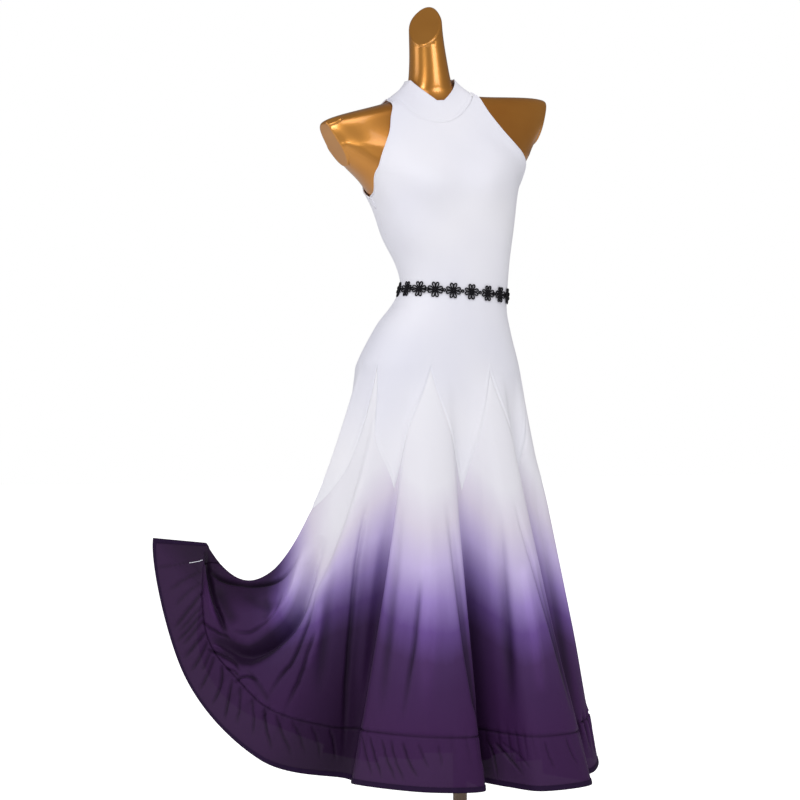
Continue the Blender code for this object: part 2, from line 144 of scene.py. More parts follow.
# Neckline and stand collar
NECK_FRONT_Z = 1.3465
NECK_SIDE_Z = 1.402
NECK_BACK_Z = 1.408
NECK_CURVE = 1.75
COLLAR_HALF = 0.0468
COLLAR_DEPTH = 0.0475
COLLAR_MIDDLE = (-0.0585, 0.012)
COLLAR_ROLL = 4.5
COLLAR_DIP_Z = 1.389
COLLAR_TOP_Z = 1.431
COLLAR_FLAT_DEGREES = 9.0
COLLAR_RISE_DEGREES = 74.0
COLLAR_WAIST = 0.0025
COLLAR_END = 179.6
# The collar's seam and stitch line: share up, half width and depth
COLLAR_STITCHES = ((0.0, 0.030, 0.00130), (0.12, 0.030, 0.00104))

# Fold lines of the skirt from the hip to the hem: side, away and z of the hem
# end, how late the line leaves the hip, and how far it sags.
FOLDS = (
    (-0.150, 0.075, 0.130, 1.70, 0.000),
    (-0.306, 0.138, 0.177, 1.20, 0.030),
    (-0.437, 0.138, 0.244, 1.20, 0.110),
    (-0.497, 0.103, 0.365, 1.25, 0.190),
    (-0.481, 0.052, 0.554, 0.94, 0.204),
    (-0.581, 0.010, 0.566, 1.25, 0.274),
    (-0.523, -0.055, 0.314, 1.35, 0.170),
    (-0.384, -0.119, 0.163, 1.20, 0.050),
    (-0.222, -0.081, 0.121, 1.70, 0.000),
    (-0.210, -0.182, 0.124, 1.15, 0.000),
    (-0.091, -0.262, 0.120, 1.05, 0.000),
    (0.021, -0.216, 0.114, 1.15, 0.000),
    (-0.006, -0.100, 0.120, 1.70, 0.000),
    (0.070, -0.165, 0.114, 1.15, 0.000),
    (0.133, -0.212, 0.112, 1.05, 0.000),
    (0.230, -0.141, 0.114, 1.15, 0.000),
    (0.150, -0.064, 0.124, 1.70, 0.000),
    (0.240, -0.041, 0.118, 1.08, 0.000),
    (0.268, 0.027, 0.134, 1.04, 0.000),
    (0.236, 0.100, 0.130, 1.10, 0.000),
    (0.118, 0.070, 0.128, 1.70, 0.000),
    (0.172, 0.145, 0.124, 1.15, 0.000),
    (0.178, 0.215, 0.122, 1.05, 0.000),
    (0.108, 0.238, 0.122, 1.15, 0.000),
    (0.062, 0.110, 0.126, 1.70, 0.000),
    (0.034, 0.228, 0.122, 1.15, 0.000),
    (-0.020, 0.268, 0.120, 1.05, 0.000),
    (-0.075, 0.240, 0.122, 1.15, 0.000),
    (-0.060, 0.112, 0.128, 1.70, 0.000),
    (-0.141, 0.190, 0.124, 1.15, 0.000),
    (-0.205, 0.225, 0.124, 1.05, 0.000),
    (-0.246, 0.190, 0.134, 1.15, 0.000),
)

# Creases on the side the camera sees, each given one by one: its path across the
# picture from the top left, in 800ths of its side, its half width and its height
# in metres.
SEEN_CREASES = (
    # the drawn-out side: the tuck under its top edge, the strip and its hollow
    (((206, 566), (218, 577), (233, 583), (260, 585), (283, 577), (302, 552)), 0.0045, -0.0085),
    (((214, 562), (234, 574), (258, 578), (276, 570)), 0.0060, 0.0045),
    (((206, 548), (209, 573), (214, 597), (222, 622), (228, 637)), 0.0050, -0.0110),
    (((203, 556), (205, 580), (210, 603), (218, 624)), 0.0050, 0.0060),
    (((216, 585), (226, 608), (236, 626)), 0.0120, -0.0050),
    # the deep swoop under it
    (((324, 536), (311, 568), (296, 614), (279, 636), (250, 655), (226, 646), (208, 630)), 0.0140, -0.0240),
    (((300, 604), (290, 624), (272, 644), (248, 659)), 0.0050, -0.0080),
    (((306, 545), (296, 585), (280, 612), (256, 630)), 0.0110, 0.0090),
    (((283, 590), (274, 615), (250, 632), (230, 630)), 0.0035, -0.0040),
    (((264, 596), (268, 612), (262, 626)), 0.0070, -0.0030),
    (((243, 592), (262, 606), (282, 602)), 0.0090, -0.0026),
    # pulls from the swoop to the seam
    (((316, 590), (306, 628), (292, 662), (281, 675), (264, 704)), 0.0040, -0.0060),
    (((318, 625), (308, 652), (298, 682), (283, 714)), 0.0040, -0.0055),
    (((322, 600), (316, 640), (306, 672)), 0.0080, 0.0050),
    (((332, 560), (326, 620), (318, 700)), 0.0110, -0.0050),
    # crinkles beside the seam
    (((203, 622), (214, 630), (226, 636), (230, 640)), 0.0026, -0.0045),
    (((209, 650), (221, 655), (234, 662), (241, 674)), 0.0028, -0.0055),
    (((211, 644), (224, 650), (238, 657)), 0.0032, 0.0040),
    (((236, 682), (242, 677), (251, 677), (259, 682)), 0.0026, -0.0045),
    (((226, 668), (235, 672), (240, 680)), 0.0024, -0.0035),
    (((246, 668), (262, 690), (270, 704)), 0.0045, -0.0030),
    # the stitch line under the held edge
    (((156, 568), (170, 566), (186, 563), (203, 561)), 0.0016, -0.0020),
    # gathers of the drawn-out flounce
    (((199, 572), (184, 580), (168, 592)), 0.0026, -0.0030),
    (((200, 583), (186, 594), (174, 608)), 0.0022, -0.0026),
    (((202, 593), (188, 611), (172, 631)), 0.0024, -0.0048),
    (((202, 606), (190, 620), (177, 634)), 0.0020, -0.0034),
    (((203, 613), (190, 628), (176, 643)), 0.0022, -0.0044),
    (((203, 621), (193, 633), (182, 647)), 0.0020, -0.0038),
    (((205, 633), (195, 645), (183, 660)), 0.0024, -0.0048),
    (((207, 643), (200, 657), (190, 674)), 0.0022, -0.0046),
    (((210, 653), (206, 663), (202, 672)), 0.0020, -0.0036),
    (((214, 658), (207, 676), (199, 692)), 0.0022, -0.0042),
    (((222, 666), (221, 685), (211, 708)), 0.0024, -0.0050),
    (((232, 680), (228, 702), (224, 722)), 0.0024, -0.0046),
    (((240, 688), (240, 706), (236, 727)), 0.0024, -0.0036),
    (((252, 701), (254, 718), (253, 738)), 0.0024, -0.0034),
    (((264, 710), (266, 726), (273, 753)), 0.0024, -0.0046),
    (((276, 716), (283, 735), (294, 760)), 0.0024, -0.0040),
    (((292, 722), (300, 736), (306, 756)), 0.0024, -0.0032),
    (((312, 727), (318, 742), (321, 760)), 0.0022, -0.0030),
    (((330, 730), (334, 744), (336, 762)), 0.0022, -0.0030),
    # between the drawn-out side and the first cone
    (((368, 500), (359, 548), (353, 600), (346, 690), (343, 770)), 0.0048, -0.0062),
    (((378, 520), (372, 580), (364, 650), (360, 720)), 0.0110, 0.0050),
    # the front cones
    (((400, 500), (396, 560), (388, 640), (380, 720)), 0.0100, -0.0050),
    (((421, 576), (417, 620), (412, 660), (400, 728)), 0.0045, -0.0060),
    (((429, 500), (430, 560), (428, 640), (424, 720)), 0.0130, 0.0050),
    (((447, 500), (456, 560), (466, 640), (478, 720), (486, 778)), 0.0085, -0.0100),
    (((498, 500), (502, 570), (508, 650), (512, 720)), 0.0120, -0.0060),
    (((514, 500), (533, 567), (552, 634), (566, 690)), 0.0045, -0.0060),
    (((522, 560), (534, 630), (542, 700)), 0.0120, 0.0055),
    (((536, 560), (556, 640), (574, 720)), 0.0080, -0.0050),
    # gathers of the front flounce
    (((362, 736), (366, 756), (373, 778)), 0.0022, -0.0038),
    (((370, 738), (375, 758), (383, 781)), 0.0024, -0.0044),
    (((382, 741), (387, 760), (397, 784)), 0.0022, -0.0040),
    (((391, 742), (396, 762), (406, 785)), 0.0022, -0.0036),
    (((403, 744), (409, 762), (419, 780)), 0.0024, -0.0040),
    (((419, 745), (424, 758), (430, 770)), 0.0022, -0.0026),
    (((438, 746), (441, 758), (442, 768)), 0.0020, -0.0022),
    (((489, 744), (494, 758), (498, 780)), 0.0022, -0.0036),
    (((496, 744), (508, 757), (524, 776)), 0.0024, -0.0044),
    (((503, 743), (520, 756), (531, 770)), 0.0020, -0.0026),
    (((545, 743), (549, 756), (556, 770)), 0.0022, -0.0026),
    (((566, 738), (571, 752), (579, 766)), 0.0022, -0.0030),
)

# Creases on the hidden sides, each given one by one: its path as gores round and
# share down, its half width and its height.
CREASES = (
    # the wearer's left and the back
    (((4.26, 0.24), (4.25, 0.55), (4.22, 0.94)), 0.011, -0.006),
    (((4.40, 0.20), (4.42, 0.52), (4.40, 0.88)), 0.014, 0.005),
    (((4.58, 0.34), (4.60, 0.62), (4.63, 0.92)), 0.008, -0.005),
    (((5.24, 0.30), (5.28, 0.58), (5.27, 0.90)), 0.011, -0.006),
    (((5.44, 0.22), (5.47, 0.55), (5.52, 0.86)), 0.013, 0.005),
    (((5.66, 0.36), (5.64, 0.60), (5.66, 0.93)), 0.007, -0.005),
    (((6.30, 0.26), (6.34, 0.60), (6.30, 0.92)), 0.010, -0.006),
    (((6.52, 0.20), (6.55, 0.50), (6.60, 0.80)), 0.014, 0.005),
    (((6.74, 0.38), (6.72, 0.64), (6.70, 0.94)), 0.008, -0.004),
    (((7.22, 0.28), (7.25, 0.55), (7.30, 0.90)), 0.011, -0.006),
    (((7.48, 0.24), (7.46, 0.60), (7.42, 0.86)), 0.013, 0.005),
    (((7.70, 0.34), (7.66, 0.60), (7.62, 0.94)), 0.008, -0.005),
    # the drawn-out side, back
    (((0.24, 0.34), (0.22, 0.60), (0.20, 0.92)), 0.012, -0.007),
    (((0.42, 0.30), (0.45, 0.60), (0.46, 0.88)), 0.014, 0.006),
    (((0.60, 0.34), (0.63, 0.58), (0.70, 0.84)), 0.016, -0.014),
    (((0.74, 0.42), (0.78, 0.62), (0.84, 0.82)), 0.010, 0.007),
    (((0.88, 0.36), (0.90, 0.62), (0.93, 0.88)), 0.008, -0.006),
)

# The pinches that gather the flounce to its seam, each with a puff beside it
PINCHES = 17
PINCH_WIDE = 0.0034
PINCH_SPREAD = 1.3
PINCH_JITTER = 0.34
PINCH_LEAN = 0.030
PUFF = 0.55
PUFF_APART = 2.6
PUFF_WIDE = 2.2
PUCKER = 0.012
# A gore's width at the flounce, on the drawn-out side and elsewhere
DRAWN_GORE_WIDE = 0.62
GORE_WIDE = 0.42
# The groove of the flounce's seam: its depth and half width
SEAM_GROOVE = 0.0034
SEAM_GROOVE_WIDE = 0.0020
# Creases narrower than this are gathers, which start at full height
GATHER_WIDE = 0.003
CREASE_REACH = 2.6
# The front gores have gathers listed one by one, so their pinches are slight
FRONT_GORES = (1, 2, 3)
SEEN_GATHERS = 0.22

# The cloth as cut, gore by gore: greatest width, greatest length and area, and
# the flounce's gathered length and depth.
GORE_CUTS = (
    (0.54, 0.67, 0.130),
    (0.60, 0.70, 0.146),
    (0.45, 0.69, 0.160),
    (0.40, 0.69, 0.142),
    (0.37, 0.67, 0.129),
    (0.37, 0.67, 0.129),
    (0.37, 0.68, 0.132),
    (0.38, 0.68, 0.136),
)
FLOUNCE_CUTS = (
    (0.70, 0.060),
    (0.80, 0.072),
    (0.50, 0.100),
    (0.43, 0.100),
    (0.39, 0.098),
    (0.39, 0.098),
    (0.39, 0.099),
    (0.41, 0.100),
)
BODICE_FRONT_CUT = (0.46, 0.72, 0.220)
BODICE_BACK_CUT = (0.26, 0.78, 0.115)

# The hem binding: the skirt's length that its width is a share of, and how far
# its two sides lie out from the cloth
SKIRT_LONG = 0.70
BINDING_OUT = 0.0011

# Display form, pole and base
NECK_CUT_AT = (-0.064, 0.004, 1.535)
NECK_CUT_FACING = (-0.518, -0.631, 0.574)
ARM_CUT_HALF = 0.210
ARM_CUT_Z = 1.318
ARM_CUT_DOWN = 0.42
ARM_CUT_ABOVE = 1.15
FORM_CLEARANCE = 0.0042
SHOULDER_RISE = (1.30, 1.36)
NECK_RISE = (1.41, 1.45)
PIECE_GAP = 0.0003
BASE_RADIUS = 0.180
BASE_TOP = 0.008
SOCKET_RADIUS = 0.026
SOCKET_TOP = 0.0423
POLE_RADIUS = 0.0133
# The shoulders are smoothed between two heights, this many times
FORM_SOFT = (1.30, 1.415, 40)
FORM_SIDES = 120
FORM_RING_STEP = 50
# Steps of a cut's rounded edge, each inward and out, and the smallest cut face
RIM_STEPS = ((0.0006, 0.0022), (0.0016, 0.0016), (0.0022, 0.0006), (0.0025, 0.0))
SMALLEST_CUT = 2e-4

# Lace belt: flowers of looped petals, each with a ring, and a link between them
BELT_FLOWERS = 18
BELT_LOWER = 0.003
PETALS = 8
PETAL_LEAN = math.radians(19)
PETAL_REACH = (0.0030, 0.0140)
PETAL_HALF = 0.0034
PETAL_POINTS = 14
PETAL_BULGE = 0.0007
LACE_OUT = 0.0016
RING_RADIUS = 0.0016
RING_OUT = 0.0012
LINK_SIZE = (0.0026, 0.0022)
OVAL_POINTS = 10

# Skirt dye, from the hip down: share down, colour as seen
DYE = (
    (0.00, (0.915, 0.912, 0.940)),
    (0.24, (0.900, 0.893, 0.925)),
    (0.34, (0.845, 0.815, 0.880)),
    (0.44, (0.755, 0.695, 0.865)),
    (0.52, (0.575, 0.488, 0.732)),
    (0.59, (0.380, 0.272, 0.522)),
    (0.66, (0.272, 0.165, 0.352)),
    (0.73, (0.250, 0.135, 0.318)),
    (0.82, (0.245, 0.118, 0.304)),
    (1.00, (0.235, 0.105, 0.288)),
)
# How far ahead the dye runs in the valleys and on the drawn-out side: partly the dye's own course, partly
# painted shade there and painted light on the crowns
DYE_AND_SHADE_LEAD = 0.044
DYE_AND_SHADE_DRAWN = 0.115
# Painted shade in the skirt's valleys and painted highlight on its crowns: the colour's scale at each
VALLEY_SHADE = 0.60
CROWN_HIGHLIGHT = 1.10
# Painted shade on the drawn-out side: the colour's scale there
DRAWN_SIDE_SHADE = 0.80
# Painted shade in the creases: the colour's scale at the deepest
CREASE_SHADE = 0.42
FLOUNCE_SHADE = 0.92

# How steeply the zigzag seams run: distance across a seam to height above it
SEAM_SLOPE = 0.26
# The bodice beside its zigzag seam: a dip on the seam, and a ridge apart from it
SEAM_DIP = 0.0009
SEAM_DIP_WIDE = 0.0018
SEAM_RIDGE = 0.0005
SEAM_RIDGE_APART = 0.0040
SEAM_RIDGE_WIDE = 0.0022
# How far the gores lie under the bodice's edge, and under the flounce
GORE_SINK = 0.0010
GORE_SINK_WIDE = 0.0030
GORE_UNDER_FLOUNCE = 0.0008

# Camera, as the photo was taken
CAMERA_AZIMUTH = math.radians(-25.0)
CAMERA_DISTANCE = 5.0
CAMERA_SIDE = -0.114
CAMERA_Z = 0.826
CAMERA_LENS = 118.42
CAMERA_SENSOR = 36.0
PICTURE = 800.0
# A crease's point takes the nearest cloth within these of its place in the picture
SEEN_NEAR = 1.5
SEEN_DEPTH = 0.012

# Soft lights: name, energy, side, and how far ahead, right and up they stand
LIGHTS = (
    ("key", 35, 1.2, -3.2, -1.1, 2.7),
    ("fill", 19, 1.0, -2.4, 2.3, 2.2),
    ("top", 13, 1.1, -2.1, 0.3, 3.5),
    ("side", 14, 1.6, -0.6, -3.0, 1.2),
)
LIGHT_AIM = (0, 0, 0.85)
# The pale room's strength as it lights the dress, and as the lacquer mirrors it
ROOM_LIGHT = 0.53
ROOM_MIRRORED = 0.14
FLOOR_GLOW = 0.80


# Numbers


def linear(colour):
    """A colour as seen, as the shader's linear values."""
    return tuple(c / 12.92 if c <= 0.04045 else ((c + 0.055) / 1.055) ** 2.4 for c in colour)


def smooth(value, low, high):
    """0 below low, 1 above high and smooth between them."""
    share = np.clip((np.asarray(value, float) - low) / (high - low), 0, 1)
    return share * share * (3 - 2 * share)


def catmull_at(rows, place, closed=False):
    """A table's columns at fractional row numbers, on a smooth curve."""
    rows = np.array(rows, float)
    count = len(rows)
    place = np.asarray(place, float) if closed else np.clip(place, 0, count - 1)
    first = np.floor(place).astype(int)
    if not closed:
        first = np.minimum(first, count - 2)
    t = (place - first)[..., None]
    wrap = (lambda k: k % count) if closed else (lambda k: np.clip(k, 0, count - 1))
    a, b, c, d = (rows[wrap(first + k)] for k in (-1, 0, 1, 2))
    return b + 0.5 * t * ((c - a) + t * ((2 * a - 5 * b + 4 * c - d) + t * (3 * (b - c) + d - a)))


def thickened(rows, per_row):
    """A table's rows on its smooth curve, per_row steps to a row."""
    return catmull_at(rows, np.arange((len(rows) - 1) * per_row + 1) / per_row)


BODY = thickened(SECTIONS, 400)
HALTER_FINE = thickened(HALTER, 200)


def body_at(height):
    """The body's section at each height, by column name."""
    return {name: np.interp(height, BODY[:, 0], BODY[:, k]) for k, name in enumerate(SECTION_COLUMNS)}


def body_points(cut, x, behind, out=0.0):
    """The body's surface at x from its middle, in front or behind, moved out."""
    half = cut["half"] + out
    depth = np.where(behind, cut["back"], cut["front"]) + out
    share = np.clip(np.abs(x) / half, 0, 1)
    curve = (1 - share**SECTION_POWER) ** (1 / SECTION_POWER)
    tall = ((cut["z"] - BUST_Z) / BUST_TALL) ** 2
    full = sum(np.exp(-(((x - side * BUST_APART) / BUST_WIDE) ** 2) - tall) for side in (-1, 1))
    y = curve * (depth + np.where(behind, 0.0, BUST_OUT * full))
    lift = x * np.tan(np.radians(cut["roll"]))
    return np.stack([cut["cx"] + x, cut["cy"] + np.where(behind, y, -y), cut["z"] + lift], -1)


def bodice_points(degrees, height):
    """The bodice's inner face; 0 degrees is the front, 90 the wearer's left."""
    cut = body_at(height)
    wide = np.interp(height, HALTER_FINE[:, 0], HALTER_FINE[:, 1])
    blend = np.clip((height - UNDERARM_Z) / UNDERARM_TURN, 0, 1)
    half = np.minimum(cut["half"], cut["half"] * (1 - blend) + wide * blend)
    behind = np.abs(degrees) > 90.0
    narrow = BACK_NARROW * smooth(height - UNDERARM_Z, *BACK_NARROW_ABOVE)
    narrow = narrow * smooth(NECK_SIDE_Z - height, *BACK_NARROW_BELOW_COLLAR)
    half = half * np.where(behind, 1 - narrow, 1.0)
    aside = np.where(behind, 0.0, blend * np.interp(height, HALTER_FINE[:, 0], HALTER_FINE[:, 2]))
    x = np.clip(aside + half * np.sin(np.radians(degrees)), -cut["half"], cut["half"])
    return body_points(cut, x, behind)


def fold_values(around):
    """Hem end, ease and sag at places round the skirt, straight along the held edge."""
    place = np.asarray(around, float) * 4
    rows = np.array(FOLDS)
    values = catmull_at(rows, place, closed=True)
    first = np.floor(place).astype(int) % len(rows)
    t = (place - np.floor(place))[..., None]
    straight = rows[HELD_LINE] * (1 - t) + rows[HELD_LINE + 1] * t
    return np.where((first == HELD_LINE)[..., None], straight, values)


def skirt_points(around, down):
    """The skirt's face before its creases: gores round and share down."""
    around, down = np.broadcast_arrays(np.asarray(around, float), np.asarray(down, float))
    line = fold_values(around)
    side, away = line[..., 0], line[..., 1]
    turn = (math.cos(SKIRT_TURN), math.sin(SKIRT_TURN))
    hem = np.stack([side * turn[0] - away * turn[1], side * turn[1] + away * turn[0], line[..., 2]], -1)
    degrees = ((around - FRONT_SEAM) * GORE_DEGREES + 180.0) % 360.0 - 180.0
    hip = bodice_points(degrees, np.full(around.shape, APEX_Z))
    down = np.maximum(down, 0)[..., None]
    points = hip + (hem - hip) * down ** line[..., 3:4]
    points[..., 2:3] = hip[..., 2:3] + (hem - hip)[..., 2:3] * down - line[..., 4:5] * 4 * down * (1 - down)
    return points


def point_share(around):
    """0 at a gore's tip, 1 at the points of the bodice."""
    return np.abs(2 * (around % 1.0) - 1)


def seam_down(around):
    """How far down the skirt the zigzag seam lies."""
    return POINT_DROP * point_share(around) / (APEX_Z - HEM_Z)


def lower_bodice_points(degrees, height):
    """The bodice's face down to its points, which lie on the skirt."""
    on_skirt = skirt_points(degrees / GORE_DEGREES + FRONT_SEAM, (APEX_Z - height) / (APEX_Z - HEM_Z))
    return np.where((height >= APEX_Z)[..., None], bodice_points(degrees, height), on_skirt)


def seen_grid():
    """Places all over the skirt's near side, and where they lie in the picture."""
    around, down = np.meshgrid(np.linspace(1.02, 4.3, 1100), np.linspace(0.15, 0.999, 420))
    around, down = around.ravel(), down.ravel()
    points = skirt_points(around, down)
    right = np.array([math.cos(CAMERA_AZIMUTH), math.sin(CAMERA_AZIMUTH), 0.0])
    away = CAMERA_DISTANCE + points @ np.array([-right[1], right[0], 0.0])
    scale = PICTURE * CAMERA_LENS / CAMERA_SENSOR / away
    across = PICTURE / 2 + scale * (points @ right - CAMERA_SIDE)
    return around, down, across, PICTURE / 2 - scale * (points[:, 2] - CAMERA_Z), away


def laid_on(path, steps):
    """A path across the picture as places on the skirt: gores round and share down."""
    around, down, across, height, away = SEEN
    places = []
    for x, y in catmull_at(np.array(path), np.linspace(0, len(path) - 1, steps)):
        apart = np.hypot(across - x, height - y)
        near = np.flatnonzero(apart < max(apart.min() + 0.3, SEEN_NEAR))
        near = near[away[near] < away[near].min() + SEEN_DEPTH]
        place = near[apart[near].argmin()]
        places.append((around[place], down[place]))
    return np.array(places)


SEEN = seen_grid()
SEAM_PLACES = laid_on(FLOUNCE_SEAM, 30)


def flounce_start(around):
    """How far down the skirt the flounce's seam lies: higher where it is drawn out."""
    places = np.concatenate([[(0.9, FLOUNCE_START)], SEAM_PLACES, [(2.15, FLOUNCE_START)]])
    places = places[places[:, 0].argsort()]
    near = [np.interp(around + shift, *places.T) for shift in (-0.03, -0.015, 0.0, 0.015, 0.03)]
    return np.mean(near, axis=0)


def crease_lines():
    """Each crease's places, its path on the skirt, its half width and its height."""
    laid = [(laid_on(path, 4 * len(path)), wide, high) for path, wide, high in SEEN_CREASES]
    for path, wide, high in CREASES:
        laid.append((catmull_at(np.array(path), np.linspace(0, len(path) - 1, 3 * len(path))), wide, high))
    return [(places, skirt_points(*places.T), wide, high) for places, wide, high in laid]


CREASE_LINES = crease_lines()


def crease_height(around, down, points):
    """How far the creases move the skirt's face out."""
    total = np.zeros(around.shape)
    for places, line, wide, high in CREASE_LINES:
        reach = CREASE_REACH * wide
        low, top = places.min(0) - (0.2, 0.1), places.max(0) + (0.2, 0.1)
        inside = (around > low[0]) & (around < top[0]) & (down > low[1]) & (down < top[1])
        inside &= np.all((points > line.min(0) - reach) & (points < line.max(0) + reach), axis=-1)
        near = np.flatnonzero(inside)
        at = points[near]
        nearest = np.full(len(near), np.inf)
        along = np.zeros(len(near))
        for k, (start, end) in enumerate(zip(line, line[1:])):
            step = end - start
            t = np.clip((at - start) @ step / (step @ step), 0, 1)
            apart = ((at - start - t[:, None] * step) ** 2).sum(-1)
            closer = apart < nearest
            nearest[closer] = apart[closer]
            along[closer] = (k + t[closer]) / (len(line) - 1)
        fade = smooth(along, -0.30 if wide < GATHER_WIDE else -0.02, 0.25) * smooth(1 - along, 0, 0.35)
        total[near] += high * fade * np.exp(-nearest / wide**2)
    return total


def gather_height(around, down, size):
    """The pinches and puffs of the flounce, which pucker the gore above its seam."""
    index = np.clip(np.floor(around), 0, GORES - 1).astype(int)
    total = np.zeros(np.shape(around))
    start = flounce_start(around)
    below = np.clip((down - start) / (1 - start), 0, 1)
    above = np.clip(start - down, 0, 1) * (APEX_Z - HEM_Z)
    for gore in np.unique(index):
        count = PINCHES if gore else 2 * PINCHES
        wide = GORE_WIDE if gore else DRAWN_GORE_WIDE
        strength = SEEN_GATHERS if gore in FRONT_GORES else 1.0
        inside = (index == gore) & (above < 3 * PUCKER)
        at, depth, over = around[inside], below[inside], above[inside]
        height = np.zeros(at.shape)
        for k in range(count):
            jitter = math.sin(12.9 * k + 4.1 * gore) * PINCH_JITTER
            middle = gore + (k + 0.5 + jitter) / count
            reach = 0.45 + 0.5 * abs(math.sin(7.3 * k + 2.0 * gore))
            strong = 0.55 + 0.45 * math.sin(5.7 * k + 1.3 * gore)
            turn = PINCH_LEAN * (0.7 + 0.5 * math.sin(3.1 * k))
            across = (at - middle - turn * depth) * wide
            narrow = PINCH_WIDE * (1 + PINCH_SPREAD * depth)
            pinch = np.exp(-((across / narrow) ** 2))
            puff = np.exp(-(((across - PUFF_APART * narrow) / (PUFF_WIDE * narrow)) ** 2))
            height += strong * (PUFF * puff - pinch) * (1 - smooth(depth, 0.15 * reach, reach))
        side = smooth(0.5 - np.abs((at % 1.0) - 0.5), 0.0, 0.05)
        total[inside] = strength * size * height * side * np.exp(-((over / PUCKER) ** 2))
    from_seam = (down - start) * (APEX_Z - HEM_Z)
    return total - SEAM_GROOVE * np.exp(-((from_seam / SEAM_GROOVE_WIDE) ** 2))


# Meshes


def cloth_grid(name, columns, rows, place, uv):
    """A sheet of cloth: a grid laid on a face by place(across, along), as uv is."""
    work = bmesh.new()
    bmesh.ops.create_grid(work, x_segments=columns, y_segments=rows, size=0.5)
    mesh = bpy.data.meshes.new(name)
    work.to_mesh(mesh)
    work.free()
    flat = np.empty(len(mesh.vertices) * 3)
    mesh.vertices.foreach_get("co", flat)
    flat = flat.reshape(-1, 3)
    across = np.clip(flat[:, 0] + 0.5, 0, 1)
    along = np.clip(flat[:, 1] + 0.5, 0, 1)
    points = place(across, along)
    mesh.vertices.foreach_set("co", points.astype(np.float32).ravel())
    u, v = uv(across, along)
    corner = np.empty(len(mesh.loops), dtype=np.int32)
    mesh.loops.foreach_get("vertex_index", corner)
    layer = mesh.uv_layers.new(name="cloth")
    layer.data.foreach_set("uv", np.stack([u, v], -1)[corner].astype(np.float32).ravel())
    mesh.update()
    mesh.shade_smooth()
    made = bpy.data.objects.new(name, mesh)
    bpy.context.scene.collection.objects.link(made)
    return made


def face_normals(place, a, b, step_a, step_b):
    """Outward normals of a face given by place(a, b)."""
    one = place(a + step_a, b) - place(a - step_a, b)
    other = place(a, b + step_b) - place(a, b - step_b)
    cross = np.cross(one, other)
    return cross / np.maximum(np.linalg.norm(cross, axis=-1, keepdims=True), 1e-12)


def skirt_face(around, down, out=0.0, folds=None):
    """The skirt with its creases and gathers, moved out; folds keeps their height."""
    around, down = np.broadcast_arrays(np.asarray(around, float), np.asarray(down, float))
    base = skirt_points(around, down)
    inner = GORE_EDGE + (1 - 2 * GORE_EDGE) * (around % 1.0)
    kept = np.where(around % 1.0 > 0, np.floor(around) + inner, around + GORE_EDGE)
    normal = -face_normals(skirt_points, kept, np.clip(down, 0.002, 0.998), 1e-3, 1e-3)
    height = crease_height(around, down, base)
    height = height + gather_height(around, down, bpy.context.scene.dress_sizes.gather_height)
    if folds is not None:
        folds["height"] = height
    return base + normal * (height + out)[..., None]


def keep_folds(piece, folds):
    """Store the height of a piece's folds on its points, for its material to paint shade into the creases
    and a highlight onto the ridges.
    """
    layer = piece.data.attributes.new("fold_height", "FLOAT", "POINT")
    layer.data.foreach_set("value", folds["height"].astype(np.float32))


def dyed(around, down):
    """Where the dye takes its colour: it runs ahead in the valleys and on the drawn-out side, partly the
    dye's own course and partly painted shade there.
    """
    drawn = np.exp(-(((around - 1.15) / 0.42) ** 2)) * smooth(down, 0.26, 0.62)
    return around, down + DYE_AND_SHADE_LEAD * np.cos(2 * np.pi * around) * (1 - drawn) + DYE_AND_SHADE_DRAWN * drawn


def put_in(work, name, smooth_angle=40.0):
    """A finished bmesh as an object in the scene."""
    mesh = bpy.data.meshes.new(name)
    work.to_mesh(mesh)
    work.free()
    mesh.shade_smooth()
    mesh.set_sharp_from_angle(angle=math.radians(smooth_angle))
    made = bpy.data.objects.new(name, mesh)
    bpy.context.scene.collection.objects.link(made)
    return made


def curves_to_piece(name, paths, radius, sides=2):
    """Round cords along paths, as one mesh. A path is (points, closed)."""
    data = bpy.data.curves.new(name, "CURVE")
    data.dimensions = "3D"
    data.bevel_depth = radius
    data.bevel_resolution = sides
    data.use_fill_caps = True
    for points, closed in paths:
        spline = data.splines.new("POLY")
        spline.points.add(len(points) - 1)
        spline.use_cyclic_u = closed
        for point, at in zip(spline.points, points):
            point.co = (*at, 1.0)
    holder = bpy.data.objects.new(name + "_path", data)
    bpy.context.scene.collection.objects.link(holder)
    bpy.context.view_layer.update()
    mesh = bpy.data.meshes.new_from_object(holder.evaluated_get(bpy.context.evaluated_depsgraph_get()))
    bpy.data.objects.remove(holder)
    bpy.data.curves.remove(data)
    mesh.name = name
    mesh.shade_smooth()
    made = bpy.data.objects.new(name, mesh)
    bpy.context.scene.collection.objects.link(made)
    return made


# Materials


def node(tree, kind, at=(0, 0), **settings):
    """A shader node at a place in its tree, with its settings."""
    made = tree.nodes.new(kind)
    made.location = at
    for key, value in settings.items():
        setattr(made, key, value)
    return made


